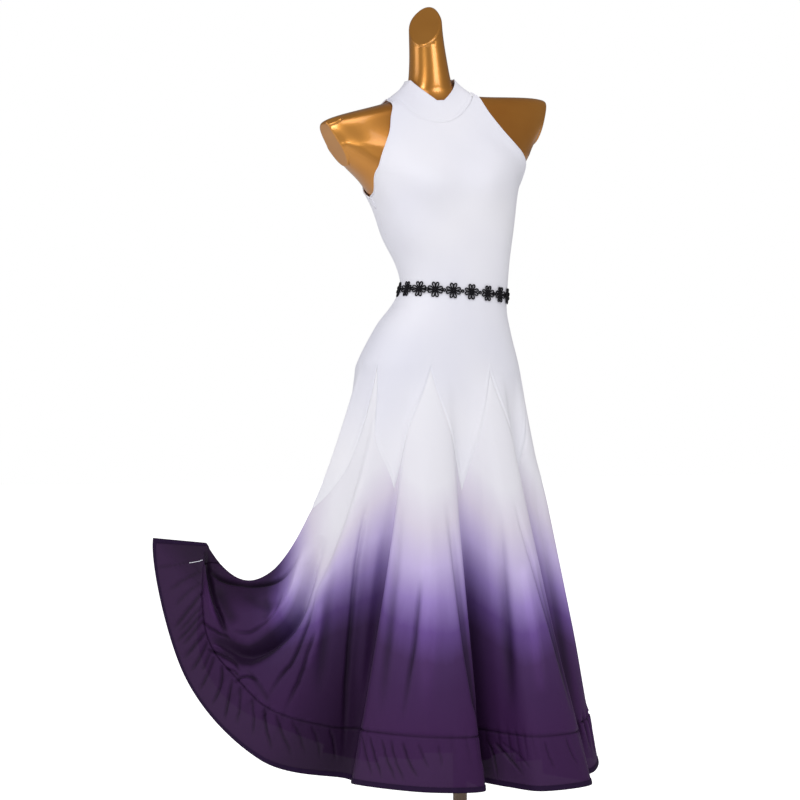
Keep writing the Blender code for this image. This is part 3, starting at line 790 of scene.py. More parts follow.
def weave_group():
    """Fine crossing threads with slubs, as a height."""
    found = bpy.data.node_groups.get("thread_weave")
    if found:
        return found
    tree = bpy.data.node_groups.new("thread_weave", "ShaderNodeTree")
    face = tree.interface
    face.new_socket("Vector", in_out="INPUT", socket_type="NodeSocketVector")
    face.new_socket("Threads", in_out="INPUT", socket_type="NodeSocketFloat")
    face.new_socket("Height", in_out="OUTPUT", socket_type="NodeSocketFloat")
    given = node(tree, "NodeGroupInput", (-700, 0))
    result = node(tree, "NodeGroupOutput", (500, 0))
    bands = []
    for row, direction in enumerate(("X", "Z")):
        wave = node(tree, "ShaderNodeTexWave", (-400, -220 * row), bands_direction=direction)
        wave.inputs["Distortion"].default_value = 0.6
        wave.inputs["Detail"].default_value = 1.0
        tree.links.new(given.outputs["Vector"], wave.inputs["Vector"])
        tree.links.new(given.outputs["Threads"], wave.inputs["Scale"])
        bands.append(wave)
    cross = node(tree, "ShaderNodeMath", (-100, 0), operation="MULTIPLY")
    tree.links.new(bands[0].outputs["Fac"], cross.inputs[0])
    tree.links.new(bands[1].outputs["Fac"], cross.inputs[1])
    slub = node(tree, "ShaderNodeTexNoise", (-400, -460))
    slub.inputs["Scale"].default_value = 55.0
    slub.inputs["Detail"].default_value = 3.0
    tree.links.new(given.outputs["Vector"], slub.inputs["Vector"])
    total = node(tree, "ShaderNodeMath", (200, 0), operation="ADD")
    tree.links.new(cross.outputs[0], total.inputs[0])
    tree.links.new(slub.outputs["Fac"], total.inputs[1])
    tree.links.new(total.outputs[0], result.inputs["Height"])
    return tree


def new_material(name):
    """A material with its Principled shader, and the tree it lives in."""
    made = bpy.data.materials.new(name)
    made.use_nodes = True
    tree = made.node_tree
    return made, tree, tree.nodes["Principled BSDF"]


def weave_bump(tree, shader, threads, strength, distance):
    """Lead the weave's height into the shader's normal."""
    where = node(tree, "ShaderNodeTexCoord", (-900, -400))
    weave = node(tree, "ShaderNodeGroup", (-700, -400), node_tree=weave_group())
    weave.inputs["Threads"].default_value = threads
    tree.links.new(where.outputs["Object"], weave.inputs["Vector"])
    bump = node(tree, "ShaderNodeBump", (-300, -400))
    bump.inputs["Strength"].default_value = strength
    bump.inputs["Distance"].default_value = distance
    tree.links.new(weave.outputs["Height"], bump.inputs["Height"])
    tree.links.new(bump.outputs["Normal"], shader.inputs["Normal"])
    return where, weave


def jersey_material(settings):
    """White stretch jersey with a soft cool and warm drift."""
    made, tree, shader = new_material("white_jersey")
    where, _ = weave_bump(tree, shader, 420.0, 0.12, 0.0004)
    drift = node(tree, "ShaderNodeTexNoise", (-700, 200))
    drift.inputs["Scale"].default_value = 3.0
    tree.links.new(where.outputs["Object"], drift.inputs["Vector"])
    ramp = node(tree, "ShaderNodeValToRGB", (-450, 200))
    ramp.color_ramp.elements[0].position = 0.35
    ramp.color_ramp.elements[0].color = (*linear((0.875, 0.875, 0.925)), 1)
    ramp.color_ramp.elements[1].position = 0.70
    ramp.color_ramp.elements[1].color = (*linear(settings.white), 1)
    tree.links.new(drift.outputs["Fac"], ramp.inputs["Fac"])
    tree.links.new(ramp.outputs["Color"], shader.inputs["Base Color"])
    shader.inputs["Roughness"].default_value = 0.55
    shader.inputs["Sheen Weight"].default_value = 0.15
    shader.inputs["Sheen Roughness"].default_value = 0.5
    shader.inputs["Specular IOR Level"].default_value = 0.35
    return made


def chiffon_material(settings, name, shade, cover):
    """Ombre chiffon: the dye follows the cloth down, and its sheerness with it; painted shade darkens its
    valleys, creases and drawn-out side, and painted highlight brightens its crowns and ridges.
    """
    made, tree, shader = new_material(name)
    where, _ = weave_bump(tree, shader, 520.0, 0.10, 0.0004)
    uv = node(tree, "ShaderNodeUVMap", (-1300, 200), uv_map="cloth")
    split = node(tree, "ShaderNodeSeparateXYZ", (-1100, 200))
    tree.links.new(uv.outputs["UV"], split.inputs[0])
    bleed = node(tree, "ShaderNodeTexNoise", (-1300, -50))
    bleed.inputs["Scale"].default_value = 22.0
    bleed.inputs["Detail"].default_value = 4.0
    streak = node(tree, "ShaderNodeMapping", (-1500, -50))
    streak.inputs["Scale"].default_value = (1.0, 1.0, 0.16)
    tree.links.new(where.outputs["Object"], streak.inputs["Vector"])
    tree.links.new(streak.outputs["Vector"], bleed.inputs["Vector"])
    shift = node(tree, "ShaderNodeMath", (-1100, -50), operation="MULTIPLY_ADD")
    shift.inputs[1].default_value = settings.dye_bleed
    shift.inputs[2].default_value = -settings.dye_bleed / 2
    tree.links.new(bleed.outputs["Fac"], shift.inputs[0])
    place = node(tree, "ShaderNodeMath", (-900, 150), operation="ADD")
    tree.links.new(split.outputs["Y"], place.inputs[0])
    tree.links.new(shift.outputs[0], place.inputs[1])
    ramp = node(tree, "ShaderNodeValToRGB", (-700, 200))
    stops = ramp.color_ramp.elements
    for k, (position, colour) in enumerate(DYE):
        stop = stops[k] if k < 2 else stops.new(position)
        stop.position = position
        stop.color = (*[c * shade for c in linear(colour)], 1)
    tree.links.new(place.outputs[0], ramp.inputs["Fac"])
    # Painted shade in the valleys between the cones and painted highlight on their crowns, by the cloth's
    # place round the skirt
    turn = node(tree, "ShaderNodeMath", (-900, 420), operation="MULTIPLY")
    turn.inputs[1].default_value = 2 * math.pi
    tree.links.new(split.outputs["X"], turn.inputs[0])
    fold = node(tree, "ShaderNodeMath", (-700, 420), operation="COSINE")
    tree.links.new(turn.outputs[0], fold.inputs[0])
    valley = node(tree, "ShaderNodeMapRange", (-500, 420), interpolation_type="SMOOTHSTEP")
    valley.inputs["From Min"].default_value = -0.2
    valley.inputs["To Min"].default_value = CROWN_HIGHLIGHT
    valley.inputs["To Max"].default_value = VALLEY_SHADE
    tree.links.new(fold.outputs[0], valley.inputs["Value"])
    # Painted shade on the drawn-out side, where its cloth lies doubled
    drawn = node(tree, "ShaderNodeMapRange", (-700, 600), interpolation_type="SMOOTHSTEP")
    drawn.inputs["From Min"].default_value = 1.70
    drawn.inputs["From Max"].default_value = 2.05
    drawn.inputs["To Min"].default_value = DRAWN_SIDE_SHADE
    tree.links.new(split.outputs["X"], drawn.inputs["Value"])
    # The valleys' and drawn-out side's painted shade and highlight together
    valley_and_side_shade = node(tree, "ShaderNodeMath", (-300, 500), operation="MULTIPLY")
    tree.links.new(valley.outputs["Result"], valley_and_side_shade.inputs[0])
    tree.links.new(drawn.outputs["Result"], valley_and_side_shade.inputs[1])
    # Painted shade in the creases and painted highlight on the ridges, from the folds' height
    folds = node(tree, "ShaderNodeAttribute", (-700, 900), attribute_name="fold_height")
    crease = node(tree, "ShaderNodeMapRange", (-500, 900))
    crease.inputs["From Min"].default_value = -0.0055
    crease.inputs["From Max"].default_value = 0.0025
    crease.inputs["To Min"].default_value = CREASE_SHADE
    crease.inputs["To Max"].default_value = 1.12
    tree.links.new(folds.outputs["Fac"], crease.inputs["Value"])
    # All the painted shade and highlight together
    both = node(tree, "ShaderNodeMath", (-250, 700), operation="MULTIPLY")
    tree.links.new(valley_and_side_shade.outputs[0], both.inputs[0])
    tree.links.new(crease.outputs["Result"], both.inputs[1])
    # The painted shade is laid only on the lower skirt: none at the hip, in full towards the hem
    low = node(tree, "ShaderNodeMapRange", (-500, 760), interpolation_type="SMOOTHSTEP")
    low.inputs["From Min"].default_value = 0.32
    low.inputs["From Max"].default_value = 0.68
    tree.links.new(split.outputs["Y"], low.inputs["Value"])
    deep = node(tree, "ShaderNodeMix", (-100, 600), data_type="FLOAT")
    deep.inputs["A"].default_value = 1.0
    tree.links.new(low.outputs["Result"], deep.inputs["Factor"])
    tree.links.new(both.outputs[0], deep.inputs["B"])
    # The dye's colour, scaled by the painted shade and highlight
    dye = node(tree, "ShaderNodeVectorMath", (100, 300), operation="SCALE")
    tree.links.new(ramp.outputs["Color"], dye.inputs[0])
    tree.links.new(deep.outputs["Result"], dye.inputs["Scale"])
    tree.links.new(dye.outputs["Vector"], shader.inputs["Base Color"])
    sheer = node(tree, "ShaderNodeMapRange", (-700, -100))
    sheer.inputs["From Min"].default_value = 0.30
    sheer.inputs["From Max"].default_value = 0.70
    sheer.inputs["To Min"].default_value = 1.0
    sheer.inputs["To Max"].default_value = cover
    tree.links.new(split.outputs["Y"], sheer.inputs["Value"])
    tree.links.new(sheer.outputs["Result"], shader.inputs["Alpha"])
    shader.inputs["Roughness"].default_value = 0.60
    shader.inputs["Sheen Weight"].default_value = 0.03
    shader.inputs["Sheen Roughness"].default_value = 0.45
    shader.inputs["Specular IOR Level"].default_value = 0.14
    return made


def binding_material():
    """The dark satin binding on the hem."""
    made, tree, shader = new_material("plum_binding")
    _, weave = weave_bump(tree, shader, 300.0, 0.25, 0.0004)
    mix = node(tree, "ShaderNodeMix", (-300, 200), data_type="RGBA")
    mix.inputs["A"].default_value = (*linear((0.11, 0.05, 0.15)), 1)
    mix.inputs["B"].default_value = (*linear((0.16, 0.08, 0.22)), 1)
    tree.links.new(weave.outputs["Height"], mix.inputs["Factor"])
    tree.links.new(mix.outputs["Result"], shader.inputs["Base Color"])
    shader.inputs["Roughness"].default_value = 0.62
    shader.inputs["Specular IOR Level"].default_value = 0.10
    return made


def lace_material():
    """Black corded lace."""
    made, tree, shader = new_material("black_lace_cord")
    _, weave = weave_bump(tree, shader, 900.0, 0.5, 0.0003)
    ramp = node(tree, "ShaderNodeValToRGB", (-300, 200))
    ramp.color_ramp.elements[0].color = (0.002, 0.002, 0.003, 1)
    ramp.color_ramp.elements[1].color = (0.009, 0.008, 0.012, 1)
    tree.links.new(weave.outputs["Height"], ramp.inputs["Fac"])
    tree.links.new(ramp.outputs["Color"], shader.inputs["Base Color"])
    shader.inputs["Roughness"].default_value = 0.70
    shader.inputs["Specular IOR Level"].default_value = 0.20
    return made


def lacquer_material(settings):
    """Bronze-gold lacquer with a faint orange-peel surface."""
    made, tree, shader = new_material("gold_lacquer")
    where = node(tree, "ShaderNodeTexCoord", (-1100, 0))
    drift = node(tree, "ShaderNodeTexNoise", (-850, 150))
    drift.inputs["Scale"].default_value = 5.0
    drift.inputs["Detail"].default_value = 3.0
    tree.links.new(where.outputs["Object"], drift.inputs["Vector"])
    ramp = node(tree, "ShaderNodeValToRGB", (-600, 150))
    ramp.color_ramp.elements[0].position = 0.30
    ramp.color_ramp.elements[0].color = (*linear((0.74, 0.47, 0.17)), 1)
    ramp.color_ramp.elements[1].position = 0.75
    ramp.color_ramp.elements[1].color = (*linear(settings.gold), 1)
    tree.links.new(drift.outputs["Fac"], ramp.inputs["Fac"])
    tree.links.new(ramp.outputs["Color"], shader.inputs["Base Color"])
    peel = node(tree, "ShaderNodeTexNoise", (-850, -250))
    peel.inputs["Scale"].default_value = 260.0
    tree.links.new(where.outputs["Object"], peel.inputs["Vector"])
    bump = node(tree, "ShaderNodeBump", (-400, -250))
    bump.inputs["Strength"].default_value = 0.05
    bump.inputs["Distance"].default_value = 0.0004
    tree.links.new(peel.outputs["Fac"], bump.inputs["Height"])
    tree.links.new(bump.outputs["Normal"], shader.inputs["Normal"])
    shader.inputs["Metallic"].default_value = 0.68
    shader.inputs["Roughness"].default_value = 0.30
    shader.inputs["Coat Weight"].default_value = 0.5
    shader.inputs["Coat Roughness"].default_value = 0.10
    return made


def stand_material():
    """Satin brown-grey metal, brushed along the pole."""
    made, tree, shader = new_material("stand_metal")
    where = node(tree, "ShaderNodeTexCoord", (-1100, 0))
    stretch = node(tree, "ShaderNodeMapping", (-900, 0))
    stretch.inputs["Scale"].default_value = (1.0, 1.0, 0.02)
    tree.links.new(where.outputs["Object"], stretch.inputs["Vector"])
    brush = node(tree, "ShaderNodeTexNoise", (-700, 0))
    brush.inputs["Scale"].default_value = 400.0
    tree.links.new(stretch.outputs["Vector"], brush.inputs["Vector"])
    ramp = node(tree, "ShaderNodeValToRGB", (-450, 100))
    ramp.color_ramp.elements[0].color = (*linear((0.42, 0.35, 0.30)), 1)
    ramp.color_ramp.elements[1].color = (*linear((0.60, 0.53, 0.47)), 1)
    tree.links.new(brush.outputs["Fac"], ramp.inputs["Fac"])
    tree.links.new(ramp.outputs["Color"], shader.inputs["Base Color"])
    rough = node(tree, "ShaderNodeMapRange", (-450, -200))
    rough.inputs["To Min"].default_value = 0.28
    rough.inputs["To Max"].default_value = 0.42
    tree.links.new(brush.outputs["Fac"], rough.inputs["Value"])
    tree.links.new(rough.outputs["Result"], shader.inputs["Roughness"])
    shader.inputs["Metallic"].default_value = 0.9
    return made


# Each material's maker; the flounce's chiffon is a shade darker than the gores'
MAKERS = {
    "white_jersey": jersey_material,
    "ombre_chiffon": lambda looks: chiffon_material(looks, "ombre_chiffon", 1.0, looks.skirt_cover),
    "gathered_chiffon": lambda looks: chiffon_material(
        looks, "gathered_chiffon", FLOUNCE_SHADE, looks.flounce_cover
    ),
    "plum_binding": lambda looks: binding_material(),
    "black_lace_cord": lambda looks: lace_material(),
    "gold_lacquer": lacquer_material,
    "stand_metal": lambda looks: stand_material(),
}


def dress_in(piece, material):
    """Give a piece its material and its body."""
    found = bpy.data.materials.get(material) or MAKERS[material](bpy.context.scene.dress_looks)
    piece.data.materials.clear()
    piece.data.materials.append(found)
    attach(piece, "root")
    return piece


# Settings


class DressLooks(bpy.types.PropertyGroup):
    """Colours and sheerness of the dress."""

    white: bpy.props.FloatVectorProperty(
        name="White",
        description="White of the bodice",
        subtype="COLOR",
        default=(0.935, 0.93, 0.955),
        min=0,
        max=1,
    )
    gold: bpy.props.FloatVectorProperty(
        name="Gold",
        description="Gold of the display form",
        subtype="COLOR",
        default=(0.86, 0.60, 0.27),
        min=0,
        max=1,
    )
    dye_bleed: bpy.props.FloatProperty(
        name="Dye bleed",
        description="How unevenly the dye runs",
        subtype="FACTOR",
        default=0.05,
        min=0,
        max=0.3,
    )
    skirt_cover: bpy.props.FloatProperty(
        name="Skirt cover",
        description="How much the dyed cloth hides",
        subtype="FACTOR",
        default=0.996,
        min=0,
        max=1,
    )
    flounce_cover: bpy.props.FloatProperty(
        name="Flounce cover",
        description="How much the flounce hides",
        subtype="FACTOR",
        default=0.996,
        min=0,
        max=1,
    )


class DressSizes(bpy.types.PropertyGroup):
    """Sizes of the fine pieces."""

    gather_height: bpy.props.FloatProperty(
        name="Gather height",
        description="Height of the flounce's gathers",
        unit="LENGTH",
        default=0.0056,
        min=0,
        max=0.01,
    )
    binding_width: bpy.props.FloatProperty(
        name="Binding width",
        description="Width of the hem binding",
        unit="LENGTH",
        default=0.009,
        min=0.002,
        max=0.02,
    )
    piping: bpy.props.FloatProperty(
        name="Armhole piping",
        description="Radius of the armhole edge",
        unit="LENGTH",
        default=0.0015,
        min=0.0005,
        max=0.004,
    )
    lace_cord: bpy.props.FloatProperty(
        name="Lace cord",
        description="Radius of the lace's cord",
        unit="LENGTH",
        default=0.0013,
        min=0.0003,
        max=0.003,
    )
    floor_side: bpy.props.FloatProperty(
        name="Floor side",
        description="Side of the floor",
        unit="LENGTH",
        default=40.0,
        min=2,
        max=100,
    )


# Cloth pieces


def neckline_z(degrees):
    """The height of the collar seam round the neck."""
    turn = np.radians(np.abs(degrees))
    front = NECK_FRONT_Z + (NECK_SIDE_Z - NECK_FRONT_Z) * np.sin(turn) ** NECK_CURVE
    back = NECK_SIDE_Z + (NECK_BACK_Z - NECK_SIDE_Z) * -np.cos(turn)
    return np.where(np.abs(degrees) <= 90, front, back)


def bodice_low(degrees):
    """The zigzag edge's height."""
    return APEX_Z - POINT_DROP * point_share(degrees / GORE_DEGREES + FRONT_SEAM)


def bodice_face(degrees, height, out=0.0):
    """The bodice's outer face with its soft pulls."""
    base = lower_bodice_points(degrees, height)
    normal = face_normals(lower_bodice_points, degrees, height, 0.25, 0.002)
    from_seam = (height - bodice_low(degrees)) * SEAM_SLOPE
    seam = SEAM_RIDGE * np.exp(-(((from_seam - SEAM_RIDGE_APART) / SEAM_RIDGE_WIDE) ** 2))
    seam -= SEAM_DIP * np.exp(-((from_seam / SEAM_DIP_WIDE) ** 2))
    side = np.radians(degrees)
    at_waist = smooth(np.abs(height - 1.10), 0.20, 0.02)
    at_chest = smooth(height, 1.16, 1.24) * smooth(height, 1.34, 1.27)
    pulls = 0.0007 * np.sin(38 * height + 5 * side) * at_waist
    pulls += 0.0010 * np.sin(26 * height + 9 * side) * at_chest
    return base + normal * (out + FACE_OUT + seam + pulls)[..., None]


def bodice_panel(name, first, last, columns):
    """A fine bodice panel as a single sheet."""

    def both(across, along):
        degrees = first + (last - first) * across
        low = bodice_low(degrees)
        high = neckline_z(degrees)
        return degrees, low + (high - low) * along

    def uv(across, along):
        degrees, height = both(across, along)
        return degrees / 90.0, height

    return cloth_grid(name, columns, 130, lambda a, b: bodice_face(*both(a, b)), uv)


class DRESS_OT_bodice(bpy.types.Operator):
    """Build the halter bodice's panels"""

    bl_idname = "dress.bodice"
    bl_label = "Bodice"

    def execute(self, context):
        panels = (
            ("bodice_front", -90.0, 90.0, 192, BODICE_FRONT_CUT),
            ("bodice_back_left", 90.0 + EDGE_NUDGE, 180.0, 96, BODICE_BACK_CUT),
            ("bodice_back_right", -180.0, -90.0 - EDGE_NUDGE, 96, BODICE_BACK_CUT),
        )
        for solid, first, last, columns, (width, length, area) in panels:
            piece = bodice_panel(solid + "_cloth", first, last, columns)
            dress_in(piece, "white_jersey")
            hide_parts(solid)
        return {"FINISHED"}


def armhole_edge(side, behind):
    """Points up one armhole edge, from the underarm to the collar."""
    height = np.linspace(UNDERARM_Z, neckline_z(np.array([90.0]))[0] - 0.001, 70)
    nudge = EDGE_NUDGE if behind else -EDGE_NUDGE
    return bodice_face(np.full(70, side * (90.0 + nudge)), height, 0.0002)


class DRESS_OT_piping(bpy.types.Operator):
    """Edge both armholes with a thin turned binding"""

    bl_idname = "dress.piping"
    bl_label = "Armhole edges"

    def execute(self, context):
        sizes = context.scene.dress_sizes
        for side, name in ((1, "left"), (-1, "right")):
            front = armhole_edge(side, False)
            back = armhole_edge(side, True)
            path = np.concatenate([front[::-1], back[1:]])
            piece = curves_to_piece(f"armhole_edge_{name}", [(path, False)], sizes.piping)
            dress_in(piece, "white_jersey")
        return {"FINISHED"}


def collar_points(degrees, up):
    """The stand collar's inner face."""
    turn = np.radians(degrees)
    low = bodice_points(degrees, neckline_z(degrees))
    rising = (np.abs(degrees) - COLLAR_FLAT_DEGREES) / (COLLAR_RISE_DEGREES - COLLAR_FLAT_DEGREES)
    rise = np.clip(rising, 0, 1)
    x = COLLAR_HALF * np.sin(turn)
    height = COLLAR_DIP_Z + (COLLAR_TOP_Z - COLLAR_DIP_Z) * rise + x * math.tan(math.radians(COLLAR_ROLL))
    top = np.stack([COLLAR_MIDDLE[0] + x, COLLAR_MIDDLE[1] - COLLAR_DEPTH * np.cos(turn), height], -1)
    point = low + (top - low) * up[..., None]
    inward = np.stack([COLLAR_MIDDLE[0] - point[..., 0], COLLAR_MIDDLE[1] - point[..., 1], 0 * up], -1)
    inward /= np.linalg.norm(inward, axis=-1, keepdims=True)
    return point + inward * (COLLAR_WAIST * 4 * up * (1 - up))[..., None]


class DRESS_OT_collar(bpy.types.Operator):
    """Build the stand collar, doubled over at its top"""

    bl_idname = "dress.collar"
    bl_label = "Collar"

    def execute(self, context):
        def place(across, along):
            degrees = (2 * across - 1) * COLLAR_END
            turned = along > 0.5
            up = np.where(turned, 2 - 2 * along, 2 * along)
            out = np.where(turned, -0.0004, FACE_OUT)
            edge = np.exp(-(((along - 0.5) / 0.02) ** 2)) * 0.0004
            sewn = sum(deep * np.exp(-(((up - at) / wide) ** 2)) for at, wide, deep in COLLAR_STITCHES)
            normal = face_normals(collar_points, degrees, up, 0.25, 0.01)
            return collar_points(degrees, up) + normal * (out + edge - sewn * ~turned)[..., None]

        piece = cloth_grid("collar_cloth", 200, 60, place, lambda a, b: (4 * a, b * 0.1))
        dress_in(piece, "white_jersey")
        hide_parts("collar")
        return {"FINISHED"}


def skirt_piece(solid, columns, rows, both, raised, material, slot):
    """A piece of the skirt, dyed: both gives its places, and raised its height."""
    folds = {}

    def place(across, along):
        around, down = both(across, along)
        return skirt_face(around, down, FACE_OUT + raised(around, down, along), folds)

    piece = cloth_grid(solid + "_cloth", columns, rows, place, lambda a, b: dyed(*both(a, b)))
    keep_folds(piece, folds)
    dress_in(piece, material)
    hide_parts(solid)
    return piece


class DRESS_OT_gores(bpy.types.Operator):
    """Build the eight skirt gores"""

    bl_idname = "dress.gores"
    bl_label = "Skirt gores"

    def execute(self, context):
        def raised(around, down, along):
            from_seam = (down - seam_down(around)) * (APEX_Z - HEM_Z) * SEAM_SLOPE
            sunk = GORE_SINK * np.exp(-((from_seam / GORE_SINK_WIDE) ** 2))
            return -sunk - GORE_UNDER_FLOUNCE * smooth(down - flounce_start(around), -TUCK, 0.0)

        for index, (width, length, area) in enumerate(GORE_CUTS):

            def both(across, along, index=index):
                around = index + across
                top = seam_down(around)
                return around, top + (flounce_start(around) + TUCK - top) * (1 - along)

            fine = (260, 190) if index in SWAG_GORES else (120, 140)
            piece = skirt_piece(f"gore_{index + 1}", *fine, both, raised, "ombre_chiffon", "skirt_chiffon")
        return {"FINISHED"}


class DRESS_OT_flounce(bpy.types.Operator):
    """Build the gathered flounce along the hem"""

    bl_idname = "dress.flounce"
    bl_label = "Flounce"

    def execute(self, context):
        def raised(around, down, along):
            return 0.0009 * np.exp(-(((1 - along) / 0.03) ** 2)) - 0.0004 * (along > 0.999)

        for index in range(GORES):

            def both(across, along, index=index):
                around = index + across
                start = flounce_start(around)
                return around, start + (1 - start) * (1 - along)

            fine = (560, 32) if index in SWAG_GORES else (280, 32)
            skirt_piece(f"flounce_{index + 1}", *fine, both, raised, "gathered_chiffon", "flounce_chiffon")
        stitch = skirt_face(*laid_on(HELD_STITCH, 12).T, CLOTH + 0.0006)
        thickness = context.scene.dress_sizes.piping / 2
        thread = curves_to_piece("held_edge_stitch", [(stitch, False)], thickness)
        dress_in(thread, "white_jersey")
        return {"FINISHED"}


class DRESS_OT_binding(bpy.types.Operator):
    """Bind the hem with a narrow dark strip folded over its edge"""

    bl_idname = "dress.binding"
    bl_label = "Hem binding"

    def execute(self, context):
        share = context.scene.dress_sizes.binding_width / SKIRT_LONG
        for index, (width, depth) in enumerate(FLOUNCE_CUTS):

            def place(across, along, index=index):
                fold = np.abs(2 * along - 1)
                wrap = np.sqrt(np.clip(1 - (1 - fold) ** 6, 0, 1))
                out = FACE_OUT + np.where(along > 0.5, 1.0, -1.0) * BINDING_OUT * wrap
                return skirt_face(index + across, 1.0 - share * fold, out)

            columns = 260 if index in SWAG_GORES else 120
            piece = cloth_grid(f"hem_binding_{index + 1}", columns, 14, place, lambda a, b: (a, b))
            dress_in(piece, "plum_binding")
        return {"FINISHED"}


# Lace belt


def belt_frame(degrees, height):
    """A point on the bodice at the belt, with its along, up and outward directions."""
    degrees = (np.asarray([degrees], float) + 180.0) % 360.0 - 180.0
    height = np.asarray([height], float)
    point = bodice_face(degrees, height, LACE_OUT)[0]
    along = bodice_face(degrees + 0.5, height)[0] - bodice_face(degrees - 0.5, height)[0]
    out = face_normals(lower_bodice_points, degrees, height, 0.25, 0.002)[0]
    along = Vector(along).normalized()
    out = Vector(out).normalized()
    return Vector(point), along, out.cross(along).normalized(), out


def petal_path(centre, along, up, out, angle):
    """A looped petal's path, leaf-shaped, with a small opening."""
    near, end = PETAL_REACH
    points = []
    for step in range(PETAL_POINTS):
        turn = 2 * math.pi * step / PETAL_POINTS
        far = 0.5 - 0.5 * math.cos(turn)
        wide = PETAL_HALF * math.sin(turn) * (0.35 + 0.65 * far)
        radius = near + (end - near) * far
        x = radius * math.cos(angle) - wide * math.sin(angle)
        y = radius * math.sin(angle) + wide * math.cos(angle)
        points.append(centre + along * x + up * y + out * PETAL_BULGE * math.sin(turn / 2))
    return points


def oval_path(centre, along, up, wide, tall):
    """A small oval loop of cord round a point."""
    turns = np.linspace(0, 2 * math.pi, OVAL_POINTS, False)
    return [centre + along * (wide * math.cos(turn)) + up * (tall * math.sin(turn)) for turn in turns]


class DRESS_OT_belt(bpy.types.Operator):
    """Build the lace belt: a chain of looped flowers"""

    bl_idname = "dress.belt"
    bl_label = "Lace belt"

    def execute(self, context):
        height = WAIST_Z - BELT_LOWER
        pitch = 360.0 / BELT_FLOWERS
        for side, start in (("front", -90.0), ("back", 90.0)):
            paths = []
            for k in range(BELT_FLOWERS // 2):
                degrees = start + pitch * (k + 0.5)
                centre, along, up, out = belt_frame(degrees, height)
                for petal in range(PETALS):
                    pair, lean = divmod(petal, 2)
                    angle = math.pi / 2 * pair + (PETAL_LEAN if lean else -PETAL_LEAN)
                    paths.append(petal_path(centre, along, up, out, angle))
                paths.append(oval_path(centre + out * RING_OUT, along, up, RING_RADIUS, RING_RADIUS))
                centre, along, up, _ = belt_frame(degrees + pitch / 2, height)
                paths.append(oval_path(centre, along, up, *LINK_SIZE))
            loops = [(path, True) for path in paths]
            piece = curves_to_piece(f"lace_belt_{side}", loops, context.scene.dress_sizes.lace_cord, 1)
            dress_in(piece, "black_lace_cord")
            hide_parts(f"belt_{side}")
        return {"FINISHED"}


# Form and stand


def cut_by(work, at, facing, above=0.0):
    """Cut a solid by a plane above a height and close it with a round-edged cap."""
    high = [vert for vert in work.verts if vert.co.z > above]
    kept = set(high)
    sides = [item for item in work.edges[:] + work.faces[:] if kept.issuperset(item.verts)]
    cut = bmesh.ops.bisect_plane(work, geom=high + sides, plane_co=at, plane_no=facing, clear_outer=True)
    rim = [item for item in cut["geom_cut"] if isinstance(item, bmesh.types.BMEdge)]
    cap = bmesh.ops.edgenet_fill(work, edges=rim)["faces"]
    cap = [face for face in cap if face.calc_area() > SMALLEST_CUT]
    for inward, out in RIM_STEPS:
        cap = bmesh.ops.extrude_discrete_faces(work, faces=cap)["faces"]
        for face in cap:
            middle = face.calc_center_median()
            for vert in face.verts:
                vert.co += (middle - vert.co).normalized() * inward + facing.normalized() * out


class DRESS_OT_form(bpy.types.Operator):
    """Build the display form's torso with its cut neck and shoulders"""

    bl_idname = "dress.form"
    bl_label = "Display form"

    def execute(self, context):
        turns = np.linspace(0, 2 * np.pi, FORM_SIDES, False)
        work = bmesh.new()
        rings = []
        for row in BODY[::FORM_RING_STEP]:
            if row[0] < FORM_FOOT_Z - 0.02:
                continue
            cut = {name: np.full(FORM_SIDES, value) for name, value in zip(SECTION_COLUMNS, row)}
            settle = smooth(row[0], *SHOULDER_RISE) - smooth(row[0], *NECK_RISE)
            x = (cut["half"] - FORM_CLEARANCE) * np.sin(turns)
            points = body_points(cut, x, np.cos(turns) < 0, -FORM_CLEARANCE)
            points[:, 2] -= FORM_CLEARANCE * settle
            ring = [work.verts.new(point) for point in points]
            rings.append([work.edges.new(pair) for pair in zip(ring, ring[1:] + ring[:1])])
        for low, high in zip(rings, rings[1:]):
            bmesh.ops.bridge_loops(work, edges=low + high)
        bmesh.ops.edgenet_fill(work, edges=rings[0])
        bmesh.ops.edgenet_fill(work, edges=rings[-1])
        bmesh.ops.recalc_face_normals(work, faces=work.faces)
        upper = [vert for vert in work.verts if FORM_SOFT[0] < vert.co.z < FORM_SOFT[1]]
        for _ in range(FORM_SOFT[2]):
            axes = {"use_axis_x": True, "use_axis_y": True, "use_axis_z": True}
            bmesh.ops.smooth_vert(work, verts=upper, factor=0.5, **axes)
        cut_by(work, Vector((0, 0, FORM_FOOT_Z + RIM_STEPS[0][1] * 2)), Vector((0, 0, -1)))
        cut_by(work, Vector(NECK_CUT_AT), Vector(NECK_CUT_FACING))
        middle = body_at(np.array([ARM_CUT_Z]))
        for side in (-1, 1):
            at = Vector(body_points(middle, np.array([side * ARM_CUT_HALF]), np.array([False]))[0])
            at.y = middle["cy"][0]
            roll = Matrix.Rotation(math.radians(-middle["roll"][0]), 3, "Y")
            facing = (roll @ Vector((side, 0, -ARM_CUT_DOWN))).normalized()
            cut_by(work, at - facing * sum(out for _, out in RIM_STEPS), facing, ARM_CUT_ABOVE)
        bmesh.ops.remove_doubles(work, verts=work.verts, dist=2e-5)
        bmesh.ops.dissolve_degenerate(work, dist=1e-5, edges=work.edges)
        bmesh.ops.recalc_face_normals(work, faces=work.faces)
        piece = put_in(work, "form_torso", 35.0)
        dress_in(piece, "gold_lacquer")
        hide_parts("form")
        return {"FINISHED"}


